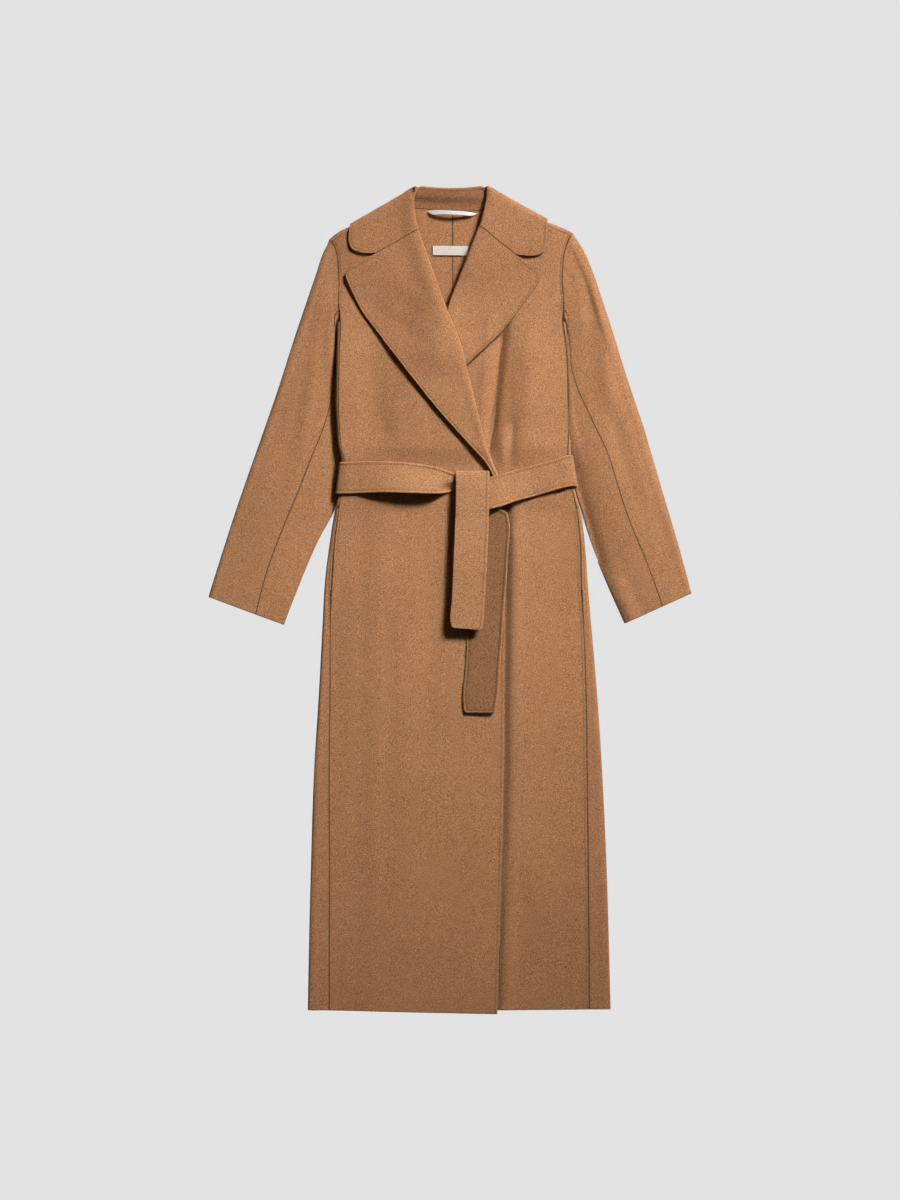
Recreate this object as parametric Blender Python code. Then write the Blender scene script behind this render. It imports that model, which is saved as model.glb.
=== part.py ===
"""Wool wrap coat, laid flat on its back and tied with its own belt.

The coat is built as the pieces that a maker cuts and sews. Each piece starts as the middle
surface of one thickness of cloth, worked out from the tables below, and is thickened into a
closed wall. Where the cloth turns round a side, a shoulder, a lapel's roll or the collar's
roll, the surface goes round a half turn. Lengths are millimetres until the mesh is made.
The coat lies face up: +Y points to the collar, +Z is up, and +X is the wearer's left.
"""
import math

import bpy
import bmesh
from mathutils import Vector

MM = 0.001                # metres in a millimetre
CLOTH = 2.5               # thickness of the double-faced wool
HALF = CLOTH / 2
SEAM = 0.3                # gap between two pieces at a seam
TURNED_SEAM = 0.6         # that gap where the two pieces meet at an angle
TIP_SEAM = 1.1            # and at the shoulder tip
NECK_TURN_SEAM = 1.2      # and where the collar's stand turns at the shoulder
GORGE_SEAM = 0.45         # and where the collar meets a lapel at the gorge
GORGE_HEADING = 80.0      # which way the collar stands off the lapel there, in degrees
NECK_HEADING = 20.0       # which way it stands off the neck edge of a front, in degrees
NECK_TURN_HEADING = 30.0  # and how far round that turns at the shoulder
BODY_RISE = 4.2           # middle of the back to middle of the front above it
OVERLAP = 4.0             # middle of the under front to middle of the over front
LAP_RAMP = 45.0           # how long the over front's slope up to that is, across the coat
LAP_RAMP_FOOT = 70.0      # from the under front's edge to the slope's foot
LAPEL_FOOT_X = -120.0     # where the over front's slope up to the under lapel starts
LAPEL_FOOT_Y = 213.0      # and where it starts at the lapel's lower end
LAPEL_RAMP_Y = 47.0       # how long that one is
LAPEL_TOP_Y = 545.0       # and where it ends at the lapel's upper end
LAPEL_TOP_RAMP = 75.0     # how long that one is
ROLL_RISE = 5.0           # middle of a front to middle of the lapel turned back on it
COLLAR_LIFT = 4.0         # how far the back is lifted by the collar's fall beneath it
COLLAR_RAMP = 98.0        # how long the slope up to that lift is
COLLAR_RAMP_FOOT = 104.0  # from the fall's lower edge down to the slope's foot
COLLAR_REACH = 184.0      # from the coat's middle to where the fall stops lifting the back
COLLAR_SIDE_RAMP = 24.0   # how long the slope is there
BELT_LIFT = 3.4           # how far the back is lifted by the belt beneath it
BELT_REACH = 36.0         # from the belt's middle to where that lift starts to fall off
BELT_RAMP = 32.0          # how long it takes to fall off
SLEEVE_LOFT = 1.8         # extra height along the middle of a sleeve
LOFT_ROWS = 4             # rows from the armhole to where a sleeve has all of that height
SHOULDER_WRAP = 3.0       # how far the back comes over the shoulder
LEAST_LEAN = 0.97         # keeps the wall's outer corners from growing past sharp folds
FOLD_STEPS = 5            # straight steps round a half turn
BODY_COLUMNS = 7          # steps across each body panel
LAPEL_COLUMNS = 5         # steps across a lapel or the collar's fall
GORGE_COLUMNS = 3         # of those, the steps along the gorge seam, up to the notch
STAND_COLUMNS = 3         # steps up the collar's stand
CENTRE_BACK = 4.0         # x of the centre-back seam
BELT_BACK_Y = 193.0       # height of the belt across the back, at x = 0
BELT_BACK_SLOPE = 0.03    # its rise towards the wearer's left
FOLD_REACH = BODY_RISE / 2 + HALF    # from a half turn's centre to the cloth's outside


class Table:
    """Rows of sizes under named columns."""

    def __init__(self, columns, rows):
        self.names = columns.split()
        self.rows = rows

    def column(self, name):
        """All the values of one column."""
        place = self.names.index(name)
        return [row[place] for row in self.rows]

    def points(self, x_name, y_name):
        """Two columns as flat points."""
        return [Vector((x, y, 0)) for x, y in zip(self.column(x_name), self.column(y_name))]

    def read(self, key_name, name, key):
        """The value of a column where the key column, which rises, passes the key."""
        keys = self.column(key_name)
        values = self.column(name)
        if key <= keys[0]:
            return values[0]
        for place in range(1, len(keys)):
            if key <= keys[place]:
                share = (key - keys[place - 1]) / (keys[place] - keys[place - 1])
                return values[place - 1] + share * (values[place] - values[place - 1])
        return values[-1]


# Side folds of the body from hem to underarm. Wrap is how far the back comes round to the
# front, and slit is how wide the pocket's mouth stands open in the seam.
SIDES = Table("right_y right_x left_y left_x back_y wrap slit", (
    (-636, -220.3, -634.5, 248.8, -637, 33, 0),
    (-526, -218.2, -526, 246.0, -526, 31, 0),
    (-419, -215.6, -419, 242.8, -419, 29, 0),
    (-260, -210.3, -260, 235.3, -260, 23, 0),
    (-140, -202.8, -140, 227.5, -140, 17, 0),
    (-30, -197.0, -30, 218.0, -30, 11.5, 0),
    (19, -194.4, 19, 213.9, 19, 10, 1.2),
    (90, -186.0, 90, 208.5, 90, 6, 1.2),
    (137, -178.4, 137, 202.0, 137, 4.5, 1.2),
    (158, -173.8, 158, 196.5, 158, 4.5, 0),
    (188, -170.5, 188, 189.5, 188, 4.5, 0),
    (216, -168.3, 216, 186.8, 216, 4.5, 0),
    (236, -172.8, 236, 187.0, 236, 4.5, 0),
    (262, -175.3, 262, 188.0, 262, 4.5, 0),
    (308, -177.2, 308, 187.4, 308, 4.5, 0),
    (345, -176.4, 345, 186.7, 345, 4.5, 0),
    (382, -175.6, 382, 185.2, 382, 4.5, 0),
    (430, -174.0, 430, 179.0, 430, 4.5, 0),
))

# Armhole seams from above the underarm to the shoulder tip.
ARMHOLE = Table("right_x right_y left_x left_y", (
    (-172.2, 460, 176.0, 460),
    (-171.5, 489, 173.3, 490),
    (-172.8, 517, 174.0, 517),
    (-176.3, 541, 177.3, 541),
    (-183.7, 556.7, 187.0, 566),
))

# Top edge of each back panel from the centre back to the shoulder tip.
BACK_TOP = Table("right_x right_y left_x left_y", (
    (CENTRE_BACK, 602.0, CENTRE_BACK, 602.0),
    (-28.0, 604.0, 34.0, 601.8),
    (-55.0, 605.5, 58.0, 603.0),
    (-80.0, 606.0, 80.0, 607.0),
    (-113.5, 594.0, 113.0, 598.0),
    (-148.5, 576.5, 147.0, 582.5),
    (-170.5, 566.5, 171.0, 573.0),
    (-183.7, 556.7, 187.0, 566.0),
))
NECK_COLUMN = 3           # the row of BACK_TOP where the neck edge meets the shoulder

# Front neck edge from the shoulder towards the lapel's roll.
FRONT_NECK = Table("right_x right_y left_x left_y", (
    (-70, 590, 70, 592),
    (-58.5, 575.5, 54.5, 580.0),
))

# Front edges, a row for each row of SIDES and ARMHOLE. Above the break the edge is the
# lapel's roll, and lapel is the outer edge of the lapel turned back from it.
FRONT_RIGHT = Table("edge_x edge_y lapel_x lapel_y", (
    (73.2, -641.5, None, None),
    (76.3, -528, None, None),
    (79.3, -420, None, None),
    (82.8, -260, None, None),
    (83.6, -140, None, None),
    (84.8, -30, None, None),
    (85.5, 19, None, None),
    (86.0, 90, None, None),
    (85.8, 135, None, None),
    (84.4, 155, None, None),
    (77.5, 186, 70.0, 184),
    (65.0, 215, 52.5, 214),
    (57.0, 234, 34.5, 233.5),
    (49.5, 263, 8.5, 262),
    (37.5, 311, -29, 305),
    (28.0, 349, -57.5, 341),
    (19.0, 389, -87, 379),
    (3.0, 431, -118, 420),
    (-9.5, 461, -134.5, 442),
    (-21.6, 495, -148, 467),
    (-33.0, 527, -158, 488),
    (-43.0, 555, -162, 502),
    (-48.8, 571.0, -157, 512),
))
FRONT_LEFT = Table("edge_x edge_y lapel_x lapel_y", (
    (-75.0, -637.5, None, None),
    (-75.0, -526, None, None),
    (-75.0, -419, None, None),
    (-75.0, -260, None, None),
    (-75.0, -140, None, None),
    (-75.0, -30, None, None),
    (-75.0, 19, None, None),
    (-75.0, 90, None, None),
    (-75.0, 137, None, None),
    (-75.0, 158, None, None),
    (-75.0, 188, None, None),
    (-72.0, 216, None, None),
    (-67.0, 236, None, None),
    (-58.0, 262, None, None),
    (-38.0, 308, -30, 305),
    (-29.0, 345, 5, 341),
    (-19.0, 386, 42.5, 378),
    (-8.5, 432, 84, 418),
    (-0.8, 461, 108, 450),
    (13.0, 496, 127, 476),
    (25.8, 529, 138, 494),
    (36.7, 557, 137.5, 505),
    (44.6, 576.5, 128, 513),
))
NOTCH = {"right": Vector((-115.5, 535.0, 0)), "left": Vector((102.5, 533.0, 0))}

# Sleeves from armhole to cuff. Outer and inner are the folds, and seam is how far the front
# seam lies from the inner fold.
SLEEVE_RIGHT = Table("outer_x outer_y inner_x inner_y seam", (
    (-189.5, 551, -177.0, 431.5, 6),
    (-196.0, 538, -177.8, 404, 6),
    (-207.0, 505.6, -177.2, 372, 6),
    (-223.3, 457.8, -177.6, 340, 6),
    (-239.4, 409.8, -178.2, 308, 8),
    (-266.6, 324.8, -175.9, 245, 25),
    (-292.6, 249.8, -178.3, 188, 42),
    (-308.6, 204.8, -184.5, 141, 53),
    (-324.6, 158.8, -203.7, 92, 55),
    (-356.0, 62.4, -236.5, 15, 50),
    (-374.2, 3.9, -257.3, -39.4, 43),
))
SLEEVE_LEFT = Table("outer_x outer_y inner_x inner_y seam", (
    (195.5, 559, 182.0, 431.5, 6),
    (204.0, 546, 185.0, 405, 6),
    (222.0, 505, 187.2, 375, 6),
    (235.0, 466, 188.0, 340, 8),
    (248.8, 425, 188.6, 308, 18),
    (275.4, 340, 189.8, 250, 38),
    (302.0, 260, 200.0, 188, 52),
    (315.6, 214, 207.0, 138, 61),
    (328.8, 169, 214.0, 98, 66),
    (355.6, 78.4, 243.0, 24, 66),
    (374.2, 9.2, 270.2, -37.2, 61),
))
BACK_SEAM_SHARE = 0.3     # how far across the underside of a sleeve its back seam lies
BACK_SEAM_AT = 2          # the point of the armhole, from the shoulder, where that seam starts
UNDERARM_SHARE = 0.25     # how far above the body's side fold the sleeve starts

# The collar's lower edge on the back, hidden under the back panels.
COLLAR_BACK = Table("x y", (
    (-160, 571), (-112, 563), (-56, 557), (2, 555), (58, 557), (112, 564), (155, 576),
))

# The collar from the end at each lapel to the shoulder, and across the back. Turn is how far
# it has gone round the shoulder, and swell is the heading of its roll, both in degrees.
COLLAR_RIGHT = Table("turn seam_x seam_y roll_x roll_y fall_x fall_y swell", (
    (0, -58.5, 575.5, -48.8, 571.0, -151.5, 540.4, 20),
    (0, -70.0, 590.0, -52.5, 588.0, -156.4, 549.5, 14),
    (0, -75.0, 598.0, -54.5, 604.5, -157.4, 562.0, 6),
    (0, -80.0, 606.0, -55.0, 620.0, -156.4, 572.0, 0),
    (90, -80.9, 607.9, -50.5, 637.8, -154.8, 580.4, 50),
    (180, -80.0, 606.0, -44.5, 639.4, -150.5, 571.0, 85),
))
COLLAR_LEFT = Table("turn seam_x seam_y roll_x roll_y fall_x fall_y swell", (
    (0, 54.5, 580.0, 44.6, 576.5, 136.0, 531.6, 20),
    (0, 70.0, 592.0, 49.3, 591.0, 146.3, 540.0, 14),
    (0, 75.0, 599.5, 52.6, 605.5, 149.5, 558.0, 6),
    (0, 80.0, 607.0, 56.0, 625.0, 150.6, 577.5, 0),
    (90, 80.9, 608.9, 55.5, 638.2, 151.0, 588.2, 50),
    (180, 80.0, 607.0, 47.5, 639.2, 147.5, 577.5, 85),
))
COLLAR_ACROSS = Table("seam_x seam_y roll_x roll_y fall_x fall_y", (
    (-55.0, 605.5, -37.0, 638.8, -112, 564),
    (-28.0, 604.0, -20.0, 637.4, -56, 558),
    (CENTRE_BACK, 602.0, 2.0, 636.6, 2, 556),
    (34.0, 601.8, 25.0, 637.4, 58, 558),
    (58.0, 603.0, 40.5, 638.8, 112, 565),
))
COLLAR_END = {"right": Vector((-139.8, 535.6, 0)), "left": Vector((122.0, 530.4, 0))}
TURN_STEPS = 5            # steps of the collar round each shoulder

# The belt on the front, from each side fold to the knot. Height is its middle.
BELT_RIGHT = Table("x top_y bottom_y height", (
    (-168.0, 212.5, 163.0, 11.9),
    (-140.0, 213.5, 164.0, 14.4),
    (-105.0, 213.5, 165.0, 18.0),
    (-52.0, 210.0, 163.7, 20.0),
    (-18.0, 203.5, 163.2, 19.8),
    (0.0, 197.5, 165.5, 19.2),
    (12.0, 192.0, 167.0, 18.9),
    (50.0, 187.0, 165.0, 18.9),
))
BELT_LEFT = Table("x top_y bottom_y height", (
    (186.0, 223.5, 175.0, 11.9),
    (160.0, 216.0, 168.0, 12.8),
    (128.0, 207.5, 158.5, 15.2),
    (100.0, 200.0, 151.0, 19.0),
    (78.0, 193.5, 143.5, 21.2),
    (60.0, 189.0, 139.0, 21.9),
    (15.0, 186.0, 147.0, 21.9),
))
BELT_RIGHT_FOLD = Table("x y", ((-172.0, 212.5), (-177.8, 163.0)))
BELT_LEFT_FOLD = Table("x y", ((190.8, 223.5), (197.5, 175.0)))
BELT_BACK_MIDDLE = Table("x top_y bottom_y", (
    (-80, 215.5, 167.5), (0, 218.0, 170.0), (90, 220.5, 172.5),
))

# The hanging ends, from the knot down.
OVER_END = Table("y left_x right_x height", (
    (130.0, 8.0, 60.0, 25.2),
    (74.0, 5.6, 57.8, 24.4),
    (0.0, 2.6, 53.6, 23.4),
    (-36.0, 0.8, 51.3, 23.0),
    (-41.5, 2.2, 49.8, 22.9),
    (-44.2, 6.4, 45.6, 22.9),
))
OVER_END_TOP = Table("y left_x right_x", ((199.0, 8.8, 60.8),))
KNOT_RISE = 0.3           # how much higher the end is where it comes over the knot
OVER_END_TUCK = Table("y left_x right_x height", ((168.0, 12.0, 57.0, 15.9),))
UNDER_END = Table("y left_x right_x height", (
    (158.0, 30.0, 68.0, 15.9),
    (141.5, 28.0, 75.0, 15.9),
    (134.0, 27.0, 88.0, 15.6),
    (124.0, 26.8, 91.0, 14.8),
    (73.0, 26.5, 90.0, 13.0),
    (-27.0, 26.2, 83.0, 12.6),
    (-100.0, 23.5, 77.5, 12.6),
    (-166.5, 20.8, 70.8, 12.6),
    (-172.8, 22.2, 69.2, 12.6),
    (-175.6, 26.4, 65.0, 12.6),
))

# The hanger loop, from point to point, bowed up off the cloth.
NECK_SEAM_Y = 600.0
HANGER = Table("x top_y bottom_y bow", (
    (-36.0, 600.9, 600.1, 0.0),
    (-28.0, 602.2, 593.9, 0.8),
    (-12.0, 601.9, 593.2, 3.0),
    (4.0, 601.2, 592.6, 3.8),
    (20.0, 600.6, 592.0, 3.0),
    (34.0, 599.0, 591.6, 0.8),
    (44.0, 597.1, 596.3, 0.0),
))
TAPE = 1.0                # thickness of the hanger loop and the label
TAPE_GAP = 0.45           # how far the tape and label stand off the back
LABEL = Table("x top_y bottom_y", ((-27, 547.6, 532.8), (1, 547.4, 532.6), (29, 547.2, 532.4)))
POCKET_CLOTH = 1.0        # thickness of the pocket cloth
POCKET_RIGHT = Table("y outer_x inner_x", (
    (-112, -168, -84), (-96, -178, -74), (19, -178, -74), (90, -178, -74), (137, -173, -74),
))
POCKET_LEFT = Table("y outer_x inner_x", (
    (-112, 193, 109), (-96, 203, 99), (19, 200, 99), (90, 199, 99), (137, 194, 99),
))

COLOURS = {
    "camel": ((0.47, 0.235, 0.105, 1.0), 0.9),
    "white": ((0.86, 0.86, 0.84, 1.0), 0.7),
    "cream": ((0.80, 0.77, 0.68, 1.0), 0.75),
    "lining": ((0.36, 0.20, 0.11, 1.0), 0.8),
}


def ease(value):
    """A soft step from 0 to 1."""
    share = min(max(value, 0.0), 1.0)
    return share * share * (3 - 2 * share)


def flat(vector):
    """The same vector without its height."""
    return Vector((vector.x, vector.y, 0))


def heading(degrees, side):
    """A level unit vector, mirrored for the coat's left side."""
    angle = math.radians(degrees)
    return Vector((math.cos(angle) * (1 if side == "right" else -1), math.sin(angle), 0))


def over_collar(x, y):
    """How much of the collar's fall lies under the back here, from 0 to 1."""
    edge = COLLAR_BACK.read("x", "y", x)
    from_foot = y - edge + COLLAR_RAMP_FOOT
    return ease(from_foot / COLLAR_RAMP) * ease((COLLAR_REACH - abs(x)) / COLLAR_SIDE_RAMP)


def sleeve_height(x, y):
    """Middle of the underside of a sleeve."""
    return HALF + COLLAR_LIFT * over_collar(x, y)


def back_height(x, y):
    """Middle of the back, which lies over the belt and over the collar's fall."""
    from_belt = abs(y - BELT_BACK_Y - BELT_BACK_SLOPE * x)
    return sleeve_height(x, y) + BELT_LIFT * (1 - ease((from_belt - BELT_REACH) / BELT_RAMP))


def under_height(x, y):
    """Middle of the front that lies under, and of all that lies at its level."""
    return back_height(x, y) + BODY_RISE


def over_height(x, y):
    """Middle of the front that laps over the other front and over the other lapel."""
    under_edge = FRONT_LEFT.read("edge_y", "edge_x", y)
    on_front = ease((x - under_edge + LAP_RAMP_FOOT) / LAP_RAMP)
    on_lapel = ease((x - LAPEL_FOOT_X) / LAP_RAMP)
    on_lapel *= ease((y - LAPEL_FOOT_Y) / LAPEL_RAMP_Y) * ease((LAPEL_TOP_Y - y) / LAPEL_TOP_RAMP)
    return under_height(x, y) + OVERLAP * on_front + ROLL_RISE * on_lapel


FRONT_HEIGHT = {"right": over_height, "left": under_height}


def half_turn(start, end, bulge):
    """Points of the half turn from start to end that swells along bulge, both ends left out."""
    centre = (start + end) / 2
    reach = (start - end) / 2
    swell = bulge * reach.length
    angles = [math.pi * step / FOLD_STEPS for step in range(1, FOLD_STEPS)]
    return [centre + reach * math.cos(angle) + swell * math.sin(angle) for angle in angles]


def between(start, end, steps):
    """Points on the straight line after start, up to and with end."""
    return [start.lerp(end, step / steps) for step in range(1, steps + 1)]


def raised(point, height):
    """A flat point at a height."""
    return Vector((point.x, point.y, height))


def side_points(side):
    """Centres of the side fold's half turn, a point for each row from hem to underarm."""
    inward = FOLD_REACH if side == "right" else -FOLD_REACH
    return [point + Vector((inward, 0, 0)) for point in SIDES.points(side + "_x", side + "_y")]


def seam_points(side):
    """Points of the side-front seam, where the back ends on the front."""
    sign = 1 if side == "right" else -1
    wraps = SIDES.column("wrap")
    outside = SIDES.points(side + "_x", side + "_y")
    return [point + Vector((sign * wrap, 0, 0)) for point, wrap in zip(outside, wraps)]


def coons(bottom, top, first, last):
    """Rows of points that fill four edges. First and last run from bottom to top."""
    rows = []
    row_count = len(first) - 1
    column_count = len(bottom) - 1
    for row in range(1, row_count + 1):
        up = row / row_count
        points = []
        for column in range(column_count + 1):
            along = column / column_count
            point = bottom[column].lerp(top[column], up) + first[row].lerp(last[row], along)
            low = bottom[0].lerp(bottom[-1], along)
            high = top[0].lerp(top[-1], along)
            points.append(point - low.lerp(high, up))
        rows.append(points)
    return rows


def shoulder_heading(side, column):
    """The way the shoulder's fold faces at a column of the top edge."""
    top = BACK_TOP.points(side + "_x", side + "_y")
    holes = ARMHOLE.points(side + "_x", side + "_y")
    if column == len(top) - 1:
        return (holes[-1] - holes[-2]).normalized()
    line = (top[-2] - top[NECK_COLUMN]).normalized()
    across = Vector((-line.y, line.x, 0))
    return across if across.y > 0 else -across


def back_panel(side):
    """One back panel, from the centre-back seam round the side and over the shoulder."""
    shift = Vector((-SEAM / 2 if side == "right" else SEAM / 2, 0, 0))
    middle = [Vector((CENTRE_BACK, y, 0)) + shift for y in SIDES.column("back_y")]
    sides = side_points(side)
    seams = seam_points(side)
    rows = [[start] + between(start, end, BODY_COLUMNS) for start, end in zip(middle, sides)]
    holes = ARMHOLE.points(side + "_x", side + "_y")
    top = BACK_TOP.points(side + "_x", side + "_y")
    top[0] = top[0] + shift
    neck_line = [middle[-1]] + between(middle[-1], top[0], len(holes))
    rows += coons(rows[-1], top, neck_line, [sides[-1]] + holes)
    sheet = {}
    for row, points in enumerate(rows):
        for column, point in enumerate(points):
            sheet[row, column] = raised(point, back_height(point.x, point.y))
    outward = Vector((-1 if side == "right" else 1, 0, 0))
    for row, seam in enumerate(seams):
        low = sheet[row, BODY_COLUMNS]
        high = low + Vector((0, 0, BODY_RISE))
        wrap = half_turn(low, high, outward) + [high]
        wrap += [raised(point, back_height(point.x, point.y) + BODY_RISE)
                 for point in between(flat(high), seam, 2)]
        for step, point in enumerate(wrap):
            sheet[row, BODY_COLUMNS + 1 + step] = point
    last = len(rows) - 1
    for column in range(NECK_COLUMN, BODY_COLUMNS + 1):
        low = sheet[last, column]
        high = low + Vector((0, 0, BODY_RISE))
        facing = shoulder_heading(side, column)
        end = flat(high) - facing * SHOULDER_WRAP
        end.z = back_height(end.x, end.y) + BODY_RISE
        for step, point in enumerate(half_turn(low, high, facing) + [high, end]):
            sheet[last + 1 + step, column] = point
    return sheet


def roll_turn(roll, bulge, low, high):
    """Both ends of the half turn at a roll, whose outside is at roll."""
    centre = roll - bulge * ((high - low) / 2 + HALF)
    return raised(centre, low), raised(centre, high)


def front_panel(side, table):
    """One front with its lapel turned back, from the side-front seam to the front edge."""
    height = FRONT_HEIGHT[side]
    sign = 1 if side == "right" else -1
    edges = table.points("edge_x", "edge_y")
    lapels = [None if x is None else Vector((x, y, 0))
              for x, y in zip(table.column("lapel_x"), table.column("lapel_y"))]
    break_row = lapels.index(next(point for point in lapels if point))
    bulges = {}
    for row in range(break_row, len(edges)):
        run = edges[min(row + 1, len(edges) - 1)] - edges[max(row - 1, break_row)]
        bulges[row] = Vector((run.y, -run.x, 0)).normalized() * sign

    def row_end(row):
        if row < break_row:
            return edges[row]
        return flat(roll_turn(edges[row], bulges[row], 0, ROLL_RISE)[0])

    seams = [point + Vector((sign * (SEAM + slit), 0, 0))
             for point, slit in zip(seam_points(side), SIDES.column("slit"))]
    rows = [[seam] + between(seam, row_end(row), BODY_COLUMNS) for row, seam in enumerate(seams)]
    holes = ARMHOLE.points(side + "_x", side + "_y")
    shoulder = BACK_TOP.points(side + "_x", side + "_y")
    top = [shoulder[column] - shoulder_heading(side, column) * (SHOULDER_WRAP + SEAM)
           for column in range(len(shoulder) - 1, NECK_COLUMN - 1, -1)]
    top += FRONT_NECK.points(side + "_x", side + "_y")
    top.append(row_end(len(edges) - 1))
    holes[-1] = top[0]
    ends = [row_end(row) for row in range(len(seams) - 1, len(edges))]
    rows += coons(rows[-1], top, [rows[-1][0]] + holes, ends)
    sheet = {}
    for row, points in enumerate(rows):
        for column, point in enumerate(points):
            sheet[row, column] = raised(point, height(point.x, point.y))
    for row, bulge in bulges.items():
        start = sheet[row, BODY_COLUMNS]
        end = start + Vector((0, 0, ROLL_RISE))
        points = half_turn(start, end, bulge) + [end]
        if row == len(edges) - 1:
            across = between(flat(end), NOTCH[side], GORGE_COLUMNS)
            across += between(NOTCH[side], lapels[row], LAPEL_COLUMNS - GORGE_COLUMNS)
        else:
            across = between(flat(end), lapels[row], LAPEL_COLUMNS)
        points += [raised(point, height(point.x, point.y) + ROLL_RISE) for point in across]
        for step, point in enumerate(points):
            sheet[row, BODY_COLUMNS + 1 + step] = point
    return sheet


def collar_row(side, turn, seam, roll, falls, swell):
    """One row of the collar, from the neck seam up the stand, over the roll and down the fall.

    Falls are the corners of the fall's line, each with the steps that lead to it.
    """
    front_share = (1 + math.cos(math.radians(turn))) / 2
    front = FRONT_HEIGHT[side]

    def stand_height(point):
        return back_height(point.x, point.y) + BODY_RISE * front_share

    def fall_height(point):
        top = front(point.x, point.y) + ROLL_RISE
        return HALF + (top - HALF) * front_share

    bulge = heading(swell, side)
    spread = (COLLAR_LIFT + (ROLL_RISE - COLLAR_LIFT) * front_share) / 2
    centre = roll - bulge * (spread + HALF)
    centre.z = (stand_height(centre) + fall_height(centre)) / 2
    lean = Vector((0, 0, -math.cos(math.radians(turn))))
    lean += heading(swell - 90, side) * math.sin(math.radians(turn))
    start = centre + lean * spread
    end = centre - lean * spread
    base = raised(seam, stand_height(seam))
    points = [base] + between(base, start, STAND_COLUMNS) + half_turn(start, end, bulge) + [end]
    line = []
    for corner, steps in falls:
        line += between(flat((line or [end])[-1]), corner, steps)
    settle = end.z - fall_height(end)
    for step, point in enumerate(line):
        points.append(raised(point, fall_height(point) + settle * (1 - (step + 1) / len(line))))
    return points


def collar_half(side, table):
    """Rows of the collar from its end at a lapel to the back of the shoulder."""
    rows = []
    seams = table.points("seam_x", "seam_y")
    rolls = table.points("roll_x", "roll_y")
    falls = table.points("fall_x", "fall_y")
    swells = table.column("swell")
    middle = table.column("turn").index(90)
    for place in range(middle):
        gap = heading(NECK_HEADING, side) * SEAM
        roll = rolls[place]
        corners = [(falls[place], LAPEL_COLUMNS)]
        if place == 0:
            gap = heading(GORGE_HEADING, side) * GORGE_SEAM
            roll = roll + gap
            corners = [(NOTCH[side] + gap, GORGE_COLUMNS), (COLLAR_END[side] + gap, 1),
                       (falls[0] + gap, 1)]
        rows.append(collar_row(side, 0, seams[place] + gap, roll, corners, swells[place]))
    front, back = middle - 1, middle + 1
    for step in range(1, TURN_STEPS + 1):
        turn = 180 * step / TURN_STEPS
        share = (1 - math.cos(math.radians(turn))) / 2
        pull = math.sin(math.radians(turn))

        def place_of(points):
            return points[front].lerp(points[back], share).lerp(points[middle], pull)

        swell = swells[front] + (swells[back] - swells[front]) * turn / 180
        way = heading(NECK_HEADING + NECK_TURN_HEADING * pull, side)
        gap = way * (SEAM + (NECK_TURN_SEAM - SEAM) * pull)
        corners = [(place_of(falls), LAPEL_COLUMNS)]
        rows.append(collar_row(side, turn, place_of(seams) + gap, place_of(rolls), corners, swell))
    return rows


def collar():
    """The collar, stand and fall in one, from lapel to lapel round the back of the neck."""
    right = collar_half("right", COLLAR_RIGHT)
    left = collar_half("left", COLLAR_LEFT)
    across = []
    for seam, roll, fall in zip(COLLAR_ACROSS.points("seam_x", "seam_y"),
                                COLLAR_ACROSS.points("roll_x", "roll_y"),
                                COLLAR_ACROSS.points("fall_x", "fall_y")):
        seat = seam + Vector((0, SEAM, 0))
        across.append(collar_row("right", 180, seat, roll, [(fall, LAPEL_COLUMNS)], 90))
    return grid(right + across + left[::-1])


def fold_line(start, edge, inside):
    """For each point of a fold's outside, the centre of its half turn and the way it faces."""
    line = [start] + edge
    folds = []
    for place in range(1, len(line)):
        run = line[min(place + 1, len(line) - 1)] - line[place - 1]
        facing = Vector((run.y, -run.x, 0)).normalized()
        if facing.dot(line[place] - inside[place - 1]) < 0:
            facing = -facing
        folds.append((line[place] - facing * FOLD_REACH, facing))
    return folds


def share_points(start, end, shares):
    """Points at the given shares of the way from start to end."""
    return [start.lerp(end, share) for share in shares]


def lengths(points):
    """How far along a line of points each one lies, as shares of the whole."""
    run = [0.0]
    for first, second in zip(points, points[1:]):
        run.append(run[-1] + (second - first).length)
    return [value / run[-1] for value in run]


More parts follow.
